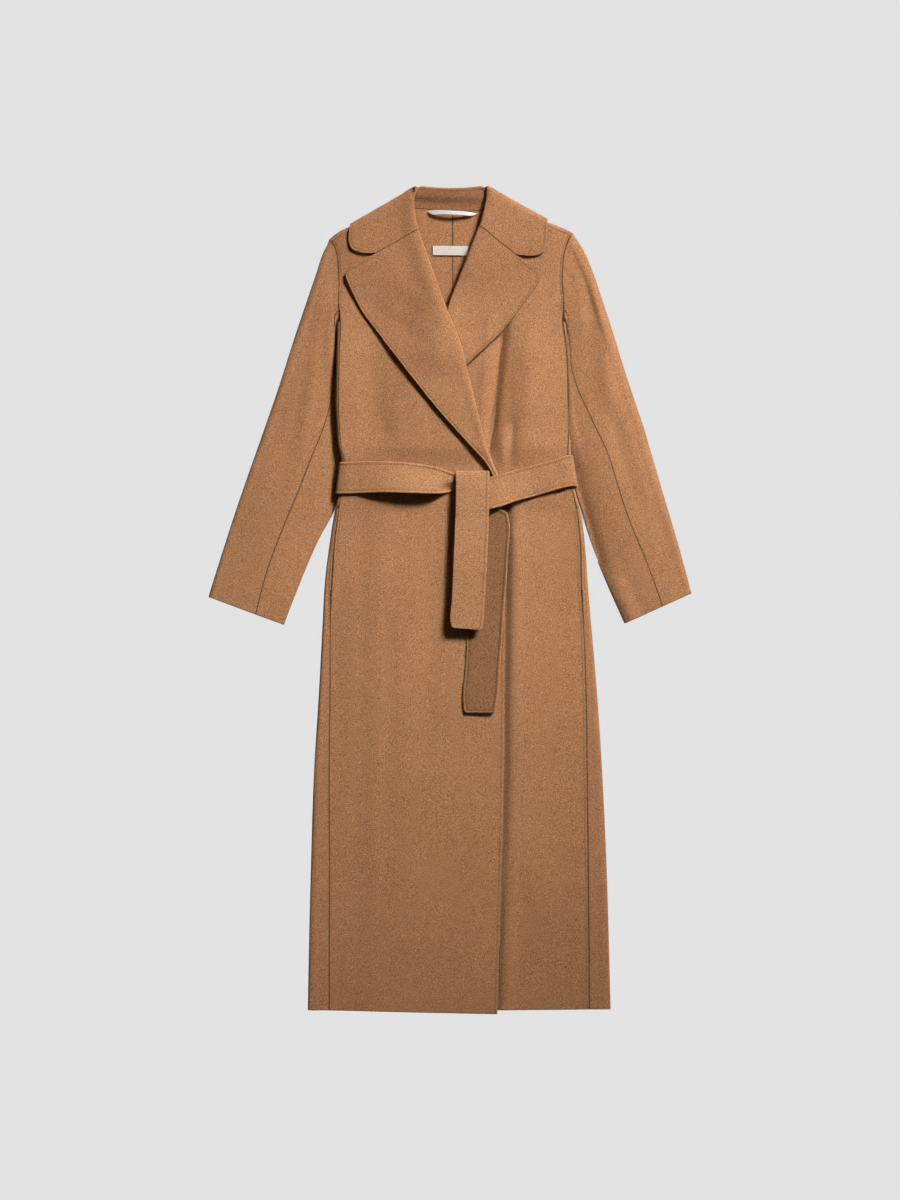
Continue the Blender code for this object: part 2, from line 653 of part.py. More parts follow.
def sleeve_sections(side, table):
    """Flat lines across a sleeve, from the armhole to the cuff.

    Each has the upper and under panels' lines on top and below, the way the outer and inner
    folds face, and how much of the loft it has.
    """
    outward = Vector((-TURNED_SEAM if side == "right" else TURNED_SEAM, 0, 0))
    body_edge = side_points(side)[-1]
    holes = ARMHOLE.points(side + "_x", side + "_y")
    underarm = body_edge.lerp(holes[0], UNDERARM_SHARE)
    armhole = [point + outward for point in holes[::-1] + [underarm]]
    tip_run = (holes[-1] - holes[-2]).normalized()
    armhole[0] = holes[-1] + Vector((-abs(tip_run.y) if side == "right" else tip_run.y,
                                     -abs(tip_run.x), 0)) * TIP_SEAM
    low_run = armhole[-2] - armhole[-1]
    front = armhole[-1] + low_run.normalized() * table.column("seam")[0]
    upper_line = armhole[:-1] + [front]
    back_line = armhole[:BACK_SEAM_AT + 1]
    under_line = armhole[BACK_SEAM_AT:]
    sections = [(upper_line, [front, armhole[-1]], back_line, under_line,
                 (armhole[0] - armhole[1]).normalized(), -low_run.normalized(), 0.0)]
    outers = table.points("outer_x", "outer_y")
    inners = table.points("inner_x", "inner_y")
    outer_folds = fold_line(armhole[0], outers, inners)
    inner_folds = fold_line(armhole[-1], inners, outers)
    for place, seam in enumerate(table.column("seam")):
        start, out = outer_folds[place]
        end, inward = inner_folds[place]
        front = end + (start - end).normalized() * seam
        back = start.lerp(end, BACK_SEAM_SHARE)
        sections.append((share_points(start, front, lengths(upper_line)), [front, end],
                         share_points(start, back, lengths(back_line)),
                         share_points(back, end, lengths(under_line)),
                         out, inward, ease((place + 1) / LOFT_ROWS)))
    return sections


def sleeve(side, table):
    """The upper and the under sleeve, two panels that together go round the arm."""
    upper = []
    under = []
    for top_upper, top_under, low_upper, low_under, out, inward, ramp in sleeve_sections(side, table):
        gap = inward * SEAM / 2
        whole = (top_under[-1] - top_upper[0]).length

        def below(point):
            return raised(point, sleeve_height(point.x, point.y))

        def above(point):
            share = min((point - top_upper[0]).length / whole, 1.0)
            loft = SLEEVE_LOFT * 4 * share * (1 - share) * ramp
            return below(point) + Vector((0, 0, BODY_RISE + loft))

        low = [below(point) for point in low_upper]
        high = [above(point) for point in top_upper]
        low[-1] -= gap
        high[-1] -= gap
        upper.append(low[::-1] + half_turn(low[0], high[0], out) + high)
        low = [below(point) for point in low_under]
        middle = top_under[0].lerp(top_under[1], 0.5)
        high = [above(point) for point in (top_under[0], middle, top_under[1])]
        low[0] += gap
        high[0] += gap
        under.append(high + half_turn(high[-1], low[-1], inward) + low[::-1])
    return grid(upper), grid(under)


def grid(rows):
    """Rows of points as a sheet."""
    return {(row, column): point for row, points in enumerate(rows)
            for column, point in enumerate(points)}


def belt_fold(start, end, fold, side):
    """The belt's half turn round one side, for its top and bottom edges."""
    outward = Vector((-1 if side == "right" else 1, 0, 0))
    reach = abs(start[0].z - end[0].z) / 2 + HALF
    columns = []
    for edge in range(2):
        centre = fold[edge] - outward * reach
        top = raised(centre, start[edge].z)
        low = raised(centre, end[edge].z)
        columns.append([top] + half_turn(top, low, outward) + [low])
    return [list(pair) for pair in zip(*columns)]


def belt_band():
    """The belt round the waist, from the knot round the right side, the back and the left."""

    def section(x, top_y, bottom_y, height):
        return [Vector((x, top_y, height)), Vector((x, bottom_y, height))]

    rows = [section(*row) for row in BELT_RIGHT.rows[::-1]]
    across = [section(*row, HALF) for row in BELT_BACK_MIDDLE.rows]
    rows = rows[:-1] + belt_fold(rows[-1], across[0], BELT_RIGHT_FOLD.points("x", "y"), "right")
    rows += across
    left = [section(*row) for row in BELT_LEFT.rows]
    rows += belt_fold(left[0], across[0], BELT_LEFT_FOLD.points("x", "y"), "left")[::-1]
    rows += left[1:]
    return grid([[top, top.lerp(bottom, 0.5), bottom] for top, bottom in rows])


def strip(table):
    """Rows across a hanging end of the belt."""
    rows = []
    for y, left_x, right_x, height in table.rows:
        left = Vector((left_x, y, height))
        right = Vector((right_x, y, height))
        rows.append([left, left.lerp(right, 0.5), right])
    return rows


def belt_over_end():
    """The end that comes up behind the knot, turns over it and hangs in front."""
    tuck = strip(OVER_END_TUCK)
    hang = strip(OVER_END)
    top_y, left_x, right_x = OVER_END_TOP.rows[0]
    low = tuck[0][0].z
    high = hang[0][0].z + KNOT_RISE
    centre_y = top_y - HALF - (high - low) / 2
    start = strip(Table("y left_x right_x height", ((centre_y, left_x, right_x, low),)))[0]
    end = strip(Table("y left_x right_x height", ((centre_y, left_x, right_x, high),)))[0]
    turns = [half_turn(first, second, Vector((0, 1, 0))) for first, second in zip(start, end)]
    return grid(tuck + [start] + [list(row) for row in zip(*turns)] + [end] + hang)


def hanger_loop():
    """The tape loop on the neck seam, bowed up between its pointed ends."""
    rows = []
    for x, top_y, bottom_y, bow in HANGER.rows:
        seat = back_height(x, NECK_SEAM_Y) + HALF + TAPE_GAP + TAPE / 2
        rows.append([Vector((x, top_y, seat + bow)), Vector((x, bottom_y, seat + bow))])
    return grid(rows)


def neck_label():
    """The label below the neck seam, blank."""
    rows = []
    for x, top_y, bottom_y in LABEL.rows:
        rows.append([Vector((x, y, back_height(x, y) + HALF + TAPE_GAP + TAPE / 2))
                     for y in (top_y, bottom_y)])
    return grid(rows)


def pocket_patch(table):
    """The pocket cloth behind a side-front seam, between back and front."""
    rows = []
    for y, outer_x, inner_x in table.rows:
        rows.append([Vector((x, y, back_height(x, y) + BODY_RISE / 2)) for x in (outer_x, inner_x)])
    return grid(rows)


def offsets(sheet, faces, thickness):
    """How far and which way each point moves to reach the wall's outer side."""
    normals = {key: [] for key in sheet}
    for face in faces:
        first, second, third, fourth = (sheet[key] for key in face)
        normal = (third - first).cross(fourth - second)
        if normal.length > 0:
            for key in face:
                normals[key].append(normal.normalized())
    moves = {}
    for key, near in normals.items():
        mean = sum(near, Vector()).normalized()
        lean = sum(mean.dot(normal) for normal in near) / len(near)
        moves[key] = mean * (thickness / 2) / max(lean, LEAST_LEAN)
    return moves


def material(name):
    """A plain Principled material."""
    found = bpy.data.materials.get(name)
    if found:
        return found
    colour, roughness = COLOURS[name]
    made = bpy.data.materials.new(name)
    made.use_nodes = True
    shader = made.node_tree.nodes["Principled BSDF"]
    shader.inputs["Base Color"].default_value = colour
    shader.inputs["Roughness"].default_value = roughness
    shader.inputs["Metallic"].default_value = 0.0
    made.diffuse_color = colour
    return made


def wall(name, sheet, cloth="camel", thickness=CLOTH):
    """A closed wall of cloth round a sheet of middle points."""
    faces = []
    for row, column in sheet:
        corners = [(row, column), (row + 1, column), (row + 1, column + 1), (row, column + 1)]
        if all(key in sheet for key in corners):
            faces.append(corners)
    moves = offsets(sheet, faces, thickness)
    mesh = bmesh.new()
    upper = {key: mesh.verts.new((point + moves[key]) * MM) for key, point in sheet.items()}
    lower = {key: mesh.verts.new((point - moves[key]) * MM) for key, point in sheet.items()}
    edges = {}
    for face in faces:
        mesh.faces.new([upper[key] for key in face])
        mesh.faces.new([lower[key] for key in reversed(face)])
        for first, second in zip(face, face[1:] + face[:1]):
            edges[first, second] = True
    for first, second in edges:
        if (second, first) not in edges:
            mesh.faces.new([upper[second], upper[first], lower[first], lower[second]])
    bmesh.ops.recalc_face_normals(mesh, faces=mesh.faces)
    data = bpy.data.meshes.new(name)
    mesh.to_mesh(data)
    mesh.free()
    data.materials.append(material(cloth))
    made = bpy.data.objects.new(name, data)
    bpy.context.scene.collection.objects.link(made)
    return made


def build():
    """Clear the scene and make every piece of the coat."""
    for item in list(bpy.data.objects):
        bpy.data.objects.remove(item, do_unlink=True)
    wall("back_right", back_panel("right"))
    wall("back_left", back_panel("left"))
    wall("front_right", front_panel("right", FRONT_RIGHT))
    wall("front_left", front_panel("left", FRONT_LEFT))
    wall("collar", collar())
    for side, table in (("right", SLEEVE_RIGHT), ("left", SLEEVE_LEFT)):
        upper, under = sleeve(side, table)
        wall("upper_sleeve_" + side, upper)
        wall("under_sleeve_" + side, under)
    wall("belt_band", belt_band())
    wall("belt_over_end", belt_over_end())
    wall("belt_under_end", grid(strip(UNDER_END)))
    wall("hanger_loop", hanger_loop(), "white", TAPE)
    wall("neck_label", neck_label(), "cream", TAPE)
    wall("pocket_patch_right", pocket_patch(POCKET_RIGHT), "lining", POCKET_CLOTH)
    wall("pocket_patch_left", pocket_patch(POCKET_LEFT), "lining", POCKET_CLOTH)


build()
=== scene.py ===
"""The looks of the wool wrap coat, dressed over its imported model.

Every piece of the coat is a thin shell on its own solid's form: the same tables and functions
give its middle surface, which is then made finer, raised by the soft folds of the cloth and
thickened with rounded edges. Lengths are millimetres until the mesh is made. The coat lies face
up: +Y points to the collar, +Z is up, and +X is the wearer's left.
"""
import math

import bpy
import numpy as np
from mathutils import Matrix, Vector
from mathutils.kdtree import KDTree


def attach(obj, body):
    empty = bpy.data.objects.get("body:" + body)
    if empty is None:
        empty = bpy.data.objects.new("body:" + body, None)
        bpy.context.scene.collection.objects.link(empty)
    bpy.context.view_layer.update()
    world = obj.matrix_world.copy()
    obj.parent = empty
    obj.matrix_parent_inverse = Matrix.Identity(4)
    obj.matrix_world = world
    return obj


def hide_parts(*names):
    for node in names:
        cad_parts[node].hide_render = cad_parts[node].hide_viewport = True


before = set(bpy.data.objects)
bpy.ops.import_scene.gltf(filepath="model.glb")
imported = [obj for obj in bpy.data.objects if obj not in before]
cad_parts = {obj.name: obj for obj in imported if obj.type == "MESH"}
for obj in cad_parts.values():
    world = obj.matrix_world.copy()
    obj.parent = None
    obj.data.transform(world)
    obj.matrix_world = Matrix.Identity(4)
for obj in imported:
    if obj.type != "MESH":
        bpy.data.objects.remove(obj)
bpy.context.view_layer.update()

MM = 0.001                # metres in a millimetre
CLOTH = 2.5               # thickness of the double-faced wool
HALF = CLOTH / 2
SEAM = 0.3                # gap between two pieces at a seam
TURNED_SEAM = 0.6         # that gap where the two pieces meet at an angle
TIP_SEAM = 1.1            # and at the shoulder tip
NECK_TURN_SEAM = 1.2      # and where the collar's stand turns at the shoulder
GORGE_SEAM = 0.45         # and where the collar meets a lapel at the gorge
GORGE_HEADING = 80.0      # which way the collar stands off the lapel there, in degrees
NECK_HEADING = 20.0       # which way it stands off the neck edge of a front, in degrees
NECK_TURN_HEADING = 30.0  # and how far round that turns at the shoulder
BODY_RISE = 4.2           # middle of the back to middle of the front above it
OVERLAP = 4.0             # middle of the under front to middle of the over front
LAP_RAMP = 45.0           # how long the over front's slope up to that is, across the coat
LAP_RAMP_FOOT = 70.0      # from the under front's edge to the slope's foot
LAPEL_FOOT_X = -120.0     # where the over front's slope up to the under lapel starts
LAPEL_FOOT_Y = 213.0      # and where it starts at the lapel's lower end
LAPEL_RAMP_Y = 47.0       # how long that one is
LAPEL_TOP_Y = 545.0       # and where it ends at the lapel's upper end
LAPEL_TOP_RAMP = 75.0     # how long that one is
ROLL_RISE = 5.0           # middle of a front to middle of the lapel turned back on it
COLLAR_LIFT = 4.0         # how far the back is lifted by the collar's fall beneath it
COLLAR_RAMP = 98.0        # how long the slope up to that lift is
COLLAR_RAMP_FOOT = 104.0  # from the fall's lower edge down to the slope's foot
COLLAR_REACH = 184.0      # from the coat's middle to where the fall stops lifting the back
COLLAR_SIDE_RAMP = 24.0   # how long the slope is there
BELT_LIFT = 3.4           # how far the back is lifted by the belt beneath it
BELT_REACH = 36.0         # from the belt's middle to where that lift starts to fall off
BELT_RAMP = 32.0          # how long it takes to fall off
SLEEVE_LOFT = 1.8         # extra height along the middle of a sleeve
LOFT_ROWS = 4             # rows from the armhole to where a sleeve has all of that height
SHOULDER_WRAP = 3.0       # how far the back comes over the shoulder
FOLD_STEPS = 5            # straight steps round a half turn
BODY_COLUMNS = 7          # steps across each body panel
LAPEL_COLUMNS = 5         # steps across a lapel or the collar's fall
GORGE_COLUMNS = 3         # of those, the steps along the gorge seam, up to the notch
STAND_COLUMNS = 3         # steps up the collar's stand
CENTRE_BACK = 4.0         # x of the centre-back seam
BELT_BACK_Y = 193.0       # height of the belt across the back, at x = 0
BELT_BACK_SLOPE = 0.03    # its rise towards the wearer's left
FOLD_REACH = BODY_RISE / 2 + HALF    # from a half turn's centre to the cloth's outside


class Table:
    """Rows of sizes under named columns."""

    def __init__(self, columns, rows):
        self.names = columns.split()
        self.rows = rows

    def column(self, name):
        """All the values of one column."""
        place = self.names.index(name)
        return [row[place] for row in self.rows]

    def points(self, x_name, y_name):
        """Two columns as flat points."""
        return [Vector((x, y, 0)) for x, y in zip(self.column(x_name), self.column(y_name))]

    def read(self, key_name, name, key):
        """The value of a column where the key column, which rises, passes the key."""
        keys = self.column(key_name)
        values = self.column(name)
        if key <= keys[0]:
            return values[0]
        for place in range(1, len(keys)):
            if key <= keys[place]:
                share = (key - keys[place - 1]) / (keys[place] - keys[place - 1])
                return values[place - 1] + share * (values[place] - values[place - 1])
        return values[-1]


# Side folds of the body from hem to underarm. Wrap is how far the back comes round to the
# front, and slit is how wide the pocket's mouth stands open in the seam.
SIDES = Table("right_y right_x left_y left_x back_y wrap slit", (
    (-636, -220.3, -634.5, 248.8, -637, 33, 0),
    (-526, -218.2, -526, 246.0, -526, 31, 0),
    (-419, -215.6, -419, 242.8, -419, 29, 0),
    (-260, -210.3, -260, 235.3, -260, 23, 0),
    (-140, -202.8, -140, 227.5, -140, 17, 0),
    (-30, -197.0, -30, 218.0, -30, 11.5, 0),
    (19, -194.4, 19, 213.9, 19, 10, 1.2),
    (90, -186.0, 90, 208.5, 90, 6, 1.2),
    (137, -178.4, 137, 202.0, 137, 4.5, 1.2),
    (158, -173.8, 158, 196.5, 158, 4.5, 0),
    (188, -170.5, 188, 189.5, 188, 4.5, 0),
    (216, -168.3, 216, 186.8, 216, 4.5, 0),
    (236, -172.8, 236, 187.0, 236, 4.5, 0),
    (262, -175.3, 262, 188.0, 262, 4.5, 0),
    (308, -177.2, 308, 187.4, 308, 4.5, 0),
    (345, -176.4, 345, 186.7, 345, 4.5, 0),
    (382, -175.6, 382, 185.2, 382, 4.5, 0),
    (430, -174.0, 430, 179.0, 430, 4.5, 0),
))

# Armhole seams from above the underarm to the shoulder tip.
ARMHOLE = Table("right_x right_y left_x left_y", (
    (-172.2, 460, 176.0, 460),
    (-171.5, 489, 173.3, 490),
    (-172.8, 517, 174.0, 517),
    (-176.3, 541, 177.3, 541),
    (-183.7, 556.7, 187.0, 566),
))

# Top edge of each back panel from the centre back to the shoulder tip.
BACK_TOP = Table("right_x right_y left_x left_y", (
    (CENTRE_BACK, 602.0, CENTRE_BACK, 602.0),
    (-28.0, 604.0, 34.0, 601.8),
    (-55.0, 605.5, 58.0, 603.0),
    (-80.0, 606.0, 80.0, 607.0),
    (-113.5, 594.0, 113.0, 598.0),
    (-148.5, 576.5, 147.0, 582.5),
    (-170.5, 566.5, 171.0, 573.0),
    (-183.7, 556.7, 187.0, 566.0),
))
NECK_COLUMN = 3           # the row of BACK_TOP where the neck edge meets the shoulder

# Front neck edge from the shoulder towards the lapel's roll.
FRONT_NECK = Table("right_x right_y left_x left_y", (
    (-70, 590, 70, 592),
    (-58.5, 575.5, 54.5, 580.0),
))

# Front edges, a row for each row of SIDES and ARMHOLE. Above the break the edge is the
# lapel's roll, and lapel is the outer edge of the lapel turned back from it.
FRONT_RIGHT = Table("edge_x edge_y lapel_x lapel_y", (
    (73.2, -641.5, None, None),
    (76.3, -528, None, None),
    (79.3, -420, None, None),
    (82.8, -260, None, None),
    (83.6, -140, None, None),
    (84.8, -30, None, None),
    (85.5, 19, None, None),
    (86.0, 90, None, None),
    (85.8, 135, None, None),
    (84.4, 155, None, None),
    (77.5, 186, 70.0, 184),
    (65.0, 215, 52.5, 214),
    (57.0, 234, 34.5, 233.5),
    (49.5, 263, 8.5, 262),
    (37.5, 311, -29, 305),
    (28.0, 349, -57.5, 341),
    (19.0, 389, -87, 379),
    (3.0, 431, -118, 420),
    (-9.5, 461, -134.5, 442),
    (-21.6, 495, -148, 467),
    (-33.0, 527, -158, 488),
    (-43.0, 555, -162, 502),
    (-48.8, 571.0, -157, 512),
))
FRONT_LEFT = Table("edge_x edge_y lapel_x lapel_y", (
    (-75.0, -637.5, None, None),
    (-75.0, -526, None, None),
    (-75.0, -419, None, None),
    (-75.0, -260, None, None),
    (-75.0, -140, None, None),
    (-75.0, -30, None, None),
    (-75.0, 19, None, None),
    (-75.0, 90, None, None),
    (-75.0, 137, None, None),
    (-75.0, 158, None, None),
    (-75.0, 188, None, None),
    (-72.0, 216, None, None),
    (-67.0, 236, None, None),
    (-58.0, 262, None, None),
    (-38.0, 308, -30, 305),
    (-29.0, 345, 5, 341),
    (-19.0, 386, 42.5, 378),
    (-8.5, 432, 84, 418),
    (-0.8, 461, 108, 450),
    (13.0, 496, 127, 476),
    (25.8, 529, 138, 494),
    (36.7, 557, 137.5, 505),
    (44.6, 576.5, 128, 513),
))
NOTCH = {"right": Vector((-115.5, 535.0, 0)), "left": Vector((102.5, 533.0, 0))}

# Sleeves from armhole to cuff. Outer and inner are the folds, and seam is how far the front
# seam lies from the inner fold.
SLEEVE_RIGHT = Table("outer_x outer_y inner_x inner_y seam", (
    (-189.5, 551, -177.0, 431.5, 6),
    (-196.0, 538, -177.8, 404, 6),
    (-207.0, 505.6, -177.2, 372, 6),
    (-223.3, 457.8, -177.6, 340, 6),
    (-239.4, 409.8, -178.2, 308, 8),
    (-266.6, 324.8, -175.9, 245, 25),
    (-292.6, 249.8, -178.3, 188, 42),
    (-308.6, 204.8, -184.5, 141, 53),
    (-324.6, 158.8, -203.7, 92, 55),
    (-356.0, 62.4, -236.5, 15, 50),
    (-374.2, 3.9, -257.3, -39.4, 43),
))
SLEEVE_LEFT = Table("outer_x outer_y inner_x inner_y seam", (
    (195.5, 559, 182.0, 431.5, 6),
    (204.0, 546, 185.0, 405, 6),
    (222.0, 505, 187.2, 375, 6),
    (235.0, 466, 188.0, 340, 8),
    (248.8, 425, 188.6, 308, 18),
    (275.4, 340, 189.8, 250, 38),
    (302.0, 260, 200.0, 188, 52),
    (315.6, 214, 207.0, 138, 61),
    (328.8, 169, 214.0, 98, 66),
    (355.6, 78.4, 243.0, 24, 66),
    (374.2, 9.2, 270.2, -37.2, 61),
))
BACK_SEAM_SHARE = 0.3     # how far across the underside of a sleeve its back seam lies
BACK_SEAM_AT = 2          # the point of the armhole, from the shoulder, where that seam starts
UNDERARM_SHARE = 0.25     # how far above the body's side fold the sleeve starts

# The collar's lower edge on the back, hidden under the back panels.
COLLAR_BACK = Table("x y", (
    (-160, 571), (-112, 563), (-56, 557), (2, 555), (58, 557), (112, 564), (155, 576),
))

# The collar from the end at each lapel to the shoulder, and across the back. Turn is how far
# it has gone round the shoulder, and swell is the heading of its roll, both in degrees.
COLLAR_RIGHT = Table("turn seam_x seam_y roll_x roll_y fall_x fall_y swell", (
    (0, -58.5, 575.5, -48.8, 571.0, -151.5, 540.4, 20),
    (0, -70.0, 590.0, -52.5, 588.0, -156.4, 549.5, 14),
    (0, -75.0, 598.0, -54.5, 604.5, -157.4, 562.0, 6),
    (0, -80.0, 606.0, -55.0, 620.0, -156.4, 572.0, 0),
    (90, -80.9, 607.9, -50.5, 637.8, -154.8, 580.4, 50),
    (180, -80.0, 606.0, -44.5, 639.4, -150.5, 571.0, 85),
))
COLLAR_LEFT = Table("turn seam_x seam_y roll_x roll_y fall_x fall_y swell", (
    (0, 54.5, 580.0, 44.6, 576.5, 136.0, 531.6, 20),
    (0, 70.0, 592.0, 49.3, 591.0, 146.3, 540.0, 14),
    (0, 75.0, 599.5, 52.6, 605.5, 149.5, 558.0, 6),
    (0, 80.0, 607.0, 56.0, 625.0, 150.6, 577.5, 0),
    (90, 80.9, 608.9, 55.5, 638.2, 151.0, 588.2, 50),
    (180, 80.0, 607.0, 47.5, 639.2, 147.5, 577.5, 85),
))
COLLAR_ACROSS = Table("seam_x seam_y roll_x roll_y fall_x fall_y", (
    (-55.0, 605.5, -37.0, 638.8, -112, 564),
    (-28.0, 604.0, -20.0, 637.4, -56, 558),
    (CENTRE_BACK, 602.0, 2.0, 636.6, 2, 556),
    (34.0, 601.8, 25.0, 637.4, 58, 558),
    (58.0, 603.0, 40.5, 638.8, 112, 565),
))
COLLAR_END = {"right": Vector((-139.8, 535.6, 0)), "left": Vector((122.0, 530.4, 0))}
TURN_STEPS = 5            # steps of the collar round each shoulder

# The belt on the front, from each side fold to the knot. Height is its middle.
BELT_RIGHT = Table("x top_y bottom_y height", (
    (-168.0, 212.5, 163.0, 11.9),
    (-140.0, 213.5, 164.0, 14.4),
    (-105.0, 213.5, 165.0, 18.0),
    (-52.0, 210.0, 163.7, 20.0),
    (-18.0, 203.5, 163.2, 19.8),
    (0.0, 197.5, 165.5, 19.2),
    (12.0, 192.0, 167.0, 18.9),
    (50.0, 187.0, 165.0, 18.9),
))
BELT_LEFT = Table("x top_y bottom_y height", (
    (186.0, 223.5, 175.0, 11.9),
    (160.0, 216.0, 168.0, 12.8),
    (128.0, 207.5, 158.5, 15.2),
    (100.0, 200.0, 151.0, 19.0),
    (78.0, 193.5, 143.5, 21.2),
    (60.0, 189.0, 139.0, 21.9),
    (15.0, 186.0, 147.0, 21.9),
))
BELT_RIGHT_FOLD = Table("x y", ((-172.0, 212.5), (-177.8, 163.0)))
BELT_LEFT_FOLD = Table("x y", ((190.8, 223.5), (197.5, 175.0)))
BELT_BACK_MIDDLE = Table("x top_y bottom_y", (
    (-80, 215.5, 167.5), (0, 218.0, 170.0), (90, 220.5, 172.5),
))

# The hanging ends, from the knot down.
OVER_END = Table("y left_x right_x height", (
    (130.0, 8.0, 60.0, 25.2),
    (74.0, 5.6, 57.8, 24.4),
    (0.0, 2.6, 53.6, 23.4),
    (-36.0, 0.8, 51.3, 23.0),
    (-41.5, 2.2, 49.8, 22.9),
    (-44.2, 6.4, 45.6, 22.9),
))
OVER_END_TOP = Table("y left_x right_x", ((199.0, 8.8, 60.8),))
KNOT_RISE = 0.3           # how much higher the end is where it comes over the knot
OVER_END_TUCK = Table("y left_x right_x height", ((168.0, 12.0, 57.0, 15.9),))
UNDER_END = Table("y left_x right_x height", (
    (158.0, 30.0, 68.0, 15.9),
    (141.5, 28.0, 75.0, 15.9),
    (134.0, 27.0, 88.0, 15.6),
    (124.0, 26.8, 91.0, 14.8),
    (73.0, 26.5, 90.0, 13.0),
    (-27.0, 26.2, 83.0, 12.6),
    (-100.0, 23.5, 77.5, 12.6),
    (-166.5, 20.8, 70.8, 12.6),
    (-172.8, 22.2, 69.2, 12.6),
    (-175.6, 26.4, 65.0, 12.6),
))

# The hanger loop, from point to point, bowed up off the cloth.
NECK_SEAM_Y = 600.0
HANGER = Table("x top_y bottom_y bow", (
    (-36.0, 600.9, 600.1, 0.0),
    (-28.0, 602.2, 593.9, 0.8),
    (-12.0, 601.9, 593.2, 3.0),
    (4.0, 601.2, 592.6, 3.8),
    (20.0, 600.6, 592.0, 3.0),
    (34.0, 599.0, 591.6, 0.8),
    (44.0, 597.1, 596.3, 0.0),
))
TAPE = 1.0                # thickness of the hanger loop and the label
TAPE_GAP = 0.45           # how far the tape and label stand off the back
LABEL = Table("x top_y bottom_y", ((-27, 547.6, 532.8), (1, 547.4, 532.6), (29, 547.2, 532.4)))
POCKET_CLOTH = 1.0        # thickness of the pocket cloth
POCKET_RIGHT = Table("y outer_x inner_x", (
    (-112, -168, -84), (-96, -178, -74), (19, -178, -74), (90, -178, -74), (137, -173, -74),
))
POCKET_LEFT = Table("y outer_x inner_x", (
    (-112, 193, 109), (-96, 203, 99), (19, 200, 99), (90, 199, 99), (137, 194, 99),
))


def ease(value):
    """A soft step from 0 to 1."""
    share = min(max(value, 0.0), 1.0)
    return share * share * (3 - 2 * share)


def flat(vector):
    """The same vector without its height."""
    return Vector((vector.x, vector.y, 0))


def heading(degrees, side):
    """A level unit vector, mirrored for the coat's left side."""
    angle = math.radians(degrees)
    return Vector((math.cos(angle) * (1 if side == "right" else -1), math.sin(angle), 0))


def over_collar(x, y):
    """How much of the collar's fall lies under the back here, from 0 to 1."""
    edge = COLLAR_BACK.read("x", "y", x)
    from_foot = y - edge + COLLAR_RAMP_FOOT
    return ease(from_foot / COLLAR_RAMP) * ease((COLLAR_REACH - abs(x)) / COLLAR_SIDE_RAMP)


def sleeve_height(x, y):
    """Middle of the underside of a sleeve."""
    return HALF + COLLAR_LIFT * over_collar(x, y)


def back_height(x, y):
    """Middle of the back, which lies over the belt and over the collar's fall."""
    from_belt = abs(y - BELT_BACK_Y - BELT_BACK_SLOPE * x)
    return sleeve_height(x, y) + BELT_LIFT * (1 - ease((from_belt - BELT_REACH) / BELT_RAMP))


def under_height(x, y):
    """Middle of the front that lies under, and of all that lies at its level."""
    return back_height(x, y) + BODY_RISE


def over_height(x, y):
    """Middle of the front that laps over the other front and over the other lapel."""
    under_edge = FRONT_LEFT.read("edge_y", "edge_x", y)
    on_front = ease((x - under_edge + LAP_RAMP_FOOT) / LAP_RAMP)
    on_lapel = ease((x - LAPEL_FOOT_X) / LAP_RAMP)
    on_lapel *= ease((y - LAPEL_FOOT_Y) / LAPEL_RAMP_Y) * ease((LAPEL_TOP_Y - y) / LAPEL_TOP_RAMP)
    return under_height(x, y) + OVERLAP * on_front + ROLL_RISE * on_lapel


FRONT_HEIGHT = {"right": over_height, "left": under_height}


def half_turn(start, end, bulge):
    """Points of the half turn from start to end that swells along bulge, both ends left out."""
    centre = (start + end) / 2
    reach = (start - end) / 2
    swell = bulge * reach.length
    angles = [math.pi * step / FOLD_STEPS for step in range(1, FOLD_STEPS)]
    return [centre + reach * math.cos(angle) + swell * math.sin(angle) for angle in angles]


def between(start, end, steps):
    """Points on the straight line after start, up to and with end."""
    return [start.lerp(end, step / steps) for step in range(1, steps + 1)]


def raised(point, height):
    """A flat point at a height."""
    return Vector((point.x, point.y, height))


def side_points(side):
    """Centres of the side fold's half turn, a point for each row from hem to underarm."""
    inward = FOLD_REACH if side == "right" else -FOLD_REACH
    return [point + Vector((inward, 0, 0)) for point in SIDES.points(side + "_x", side + "_y")]


def seam_points(side):
    """Points of the side-front seam, where the back ends on the front."""
    sign = 1 if side == "right" else -1
    wraps = SIDES.column("wrap")
    outside = SIDES.points(side + "_x", side + "_y")
    return [point + Vector((sign * wrap, 0, 0)) for point, wrap in zip(outside, wraps)]


def coons(bottom, top, first, last):
    """Rows of points that fill four edges. First and last run from bottom to top."""
    rows = []
    row_count = len(first) - 1
    column_count = len(bottom) - 1
    for row in range(1, row_count + 1):
        up = row / row_count
        points = []
        for column in range(column_count + 1):
            along = column / column_count
            point = bottom[column].lerp(top[column], up) + first[row].lerp(last[row], along)
            low = bottom[0].lerp(bottom[-1], along)
            high = top[0].lerp(top[-1], along)
            points.append(point - low.lerp(high, up))
        rows.append(points)
    return rows


def shoulder_heading(side, column):
    """The way the shoulder's fold faces at a column of the top edge."""
    top = BACK_TOP.points(side + "_x", side + "_y")
    holes = ARMHOLE.points(side + "_x", side + "_y")
    if column == len(top) - 1:
        return (holes[-1] - holes[-2]).normalized()
    line = (top[-2] - top[NECK_COLUMN]).normalized()
    across = Vector((-line.y, line.x, 0))
    return across if across.y > 0 else -across


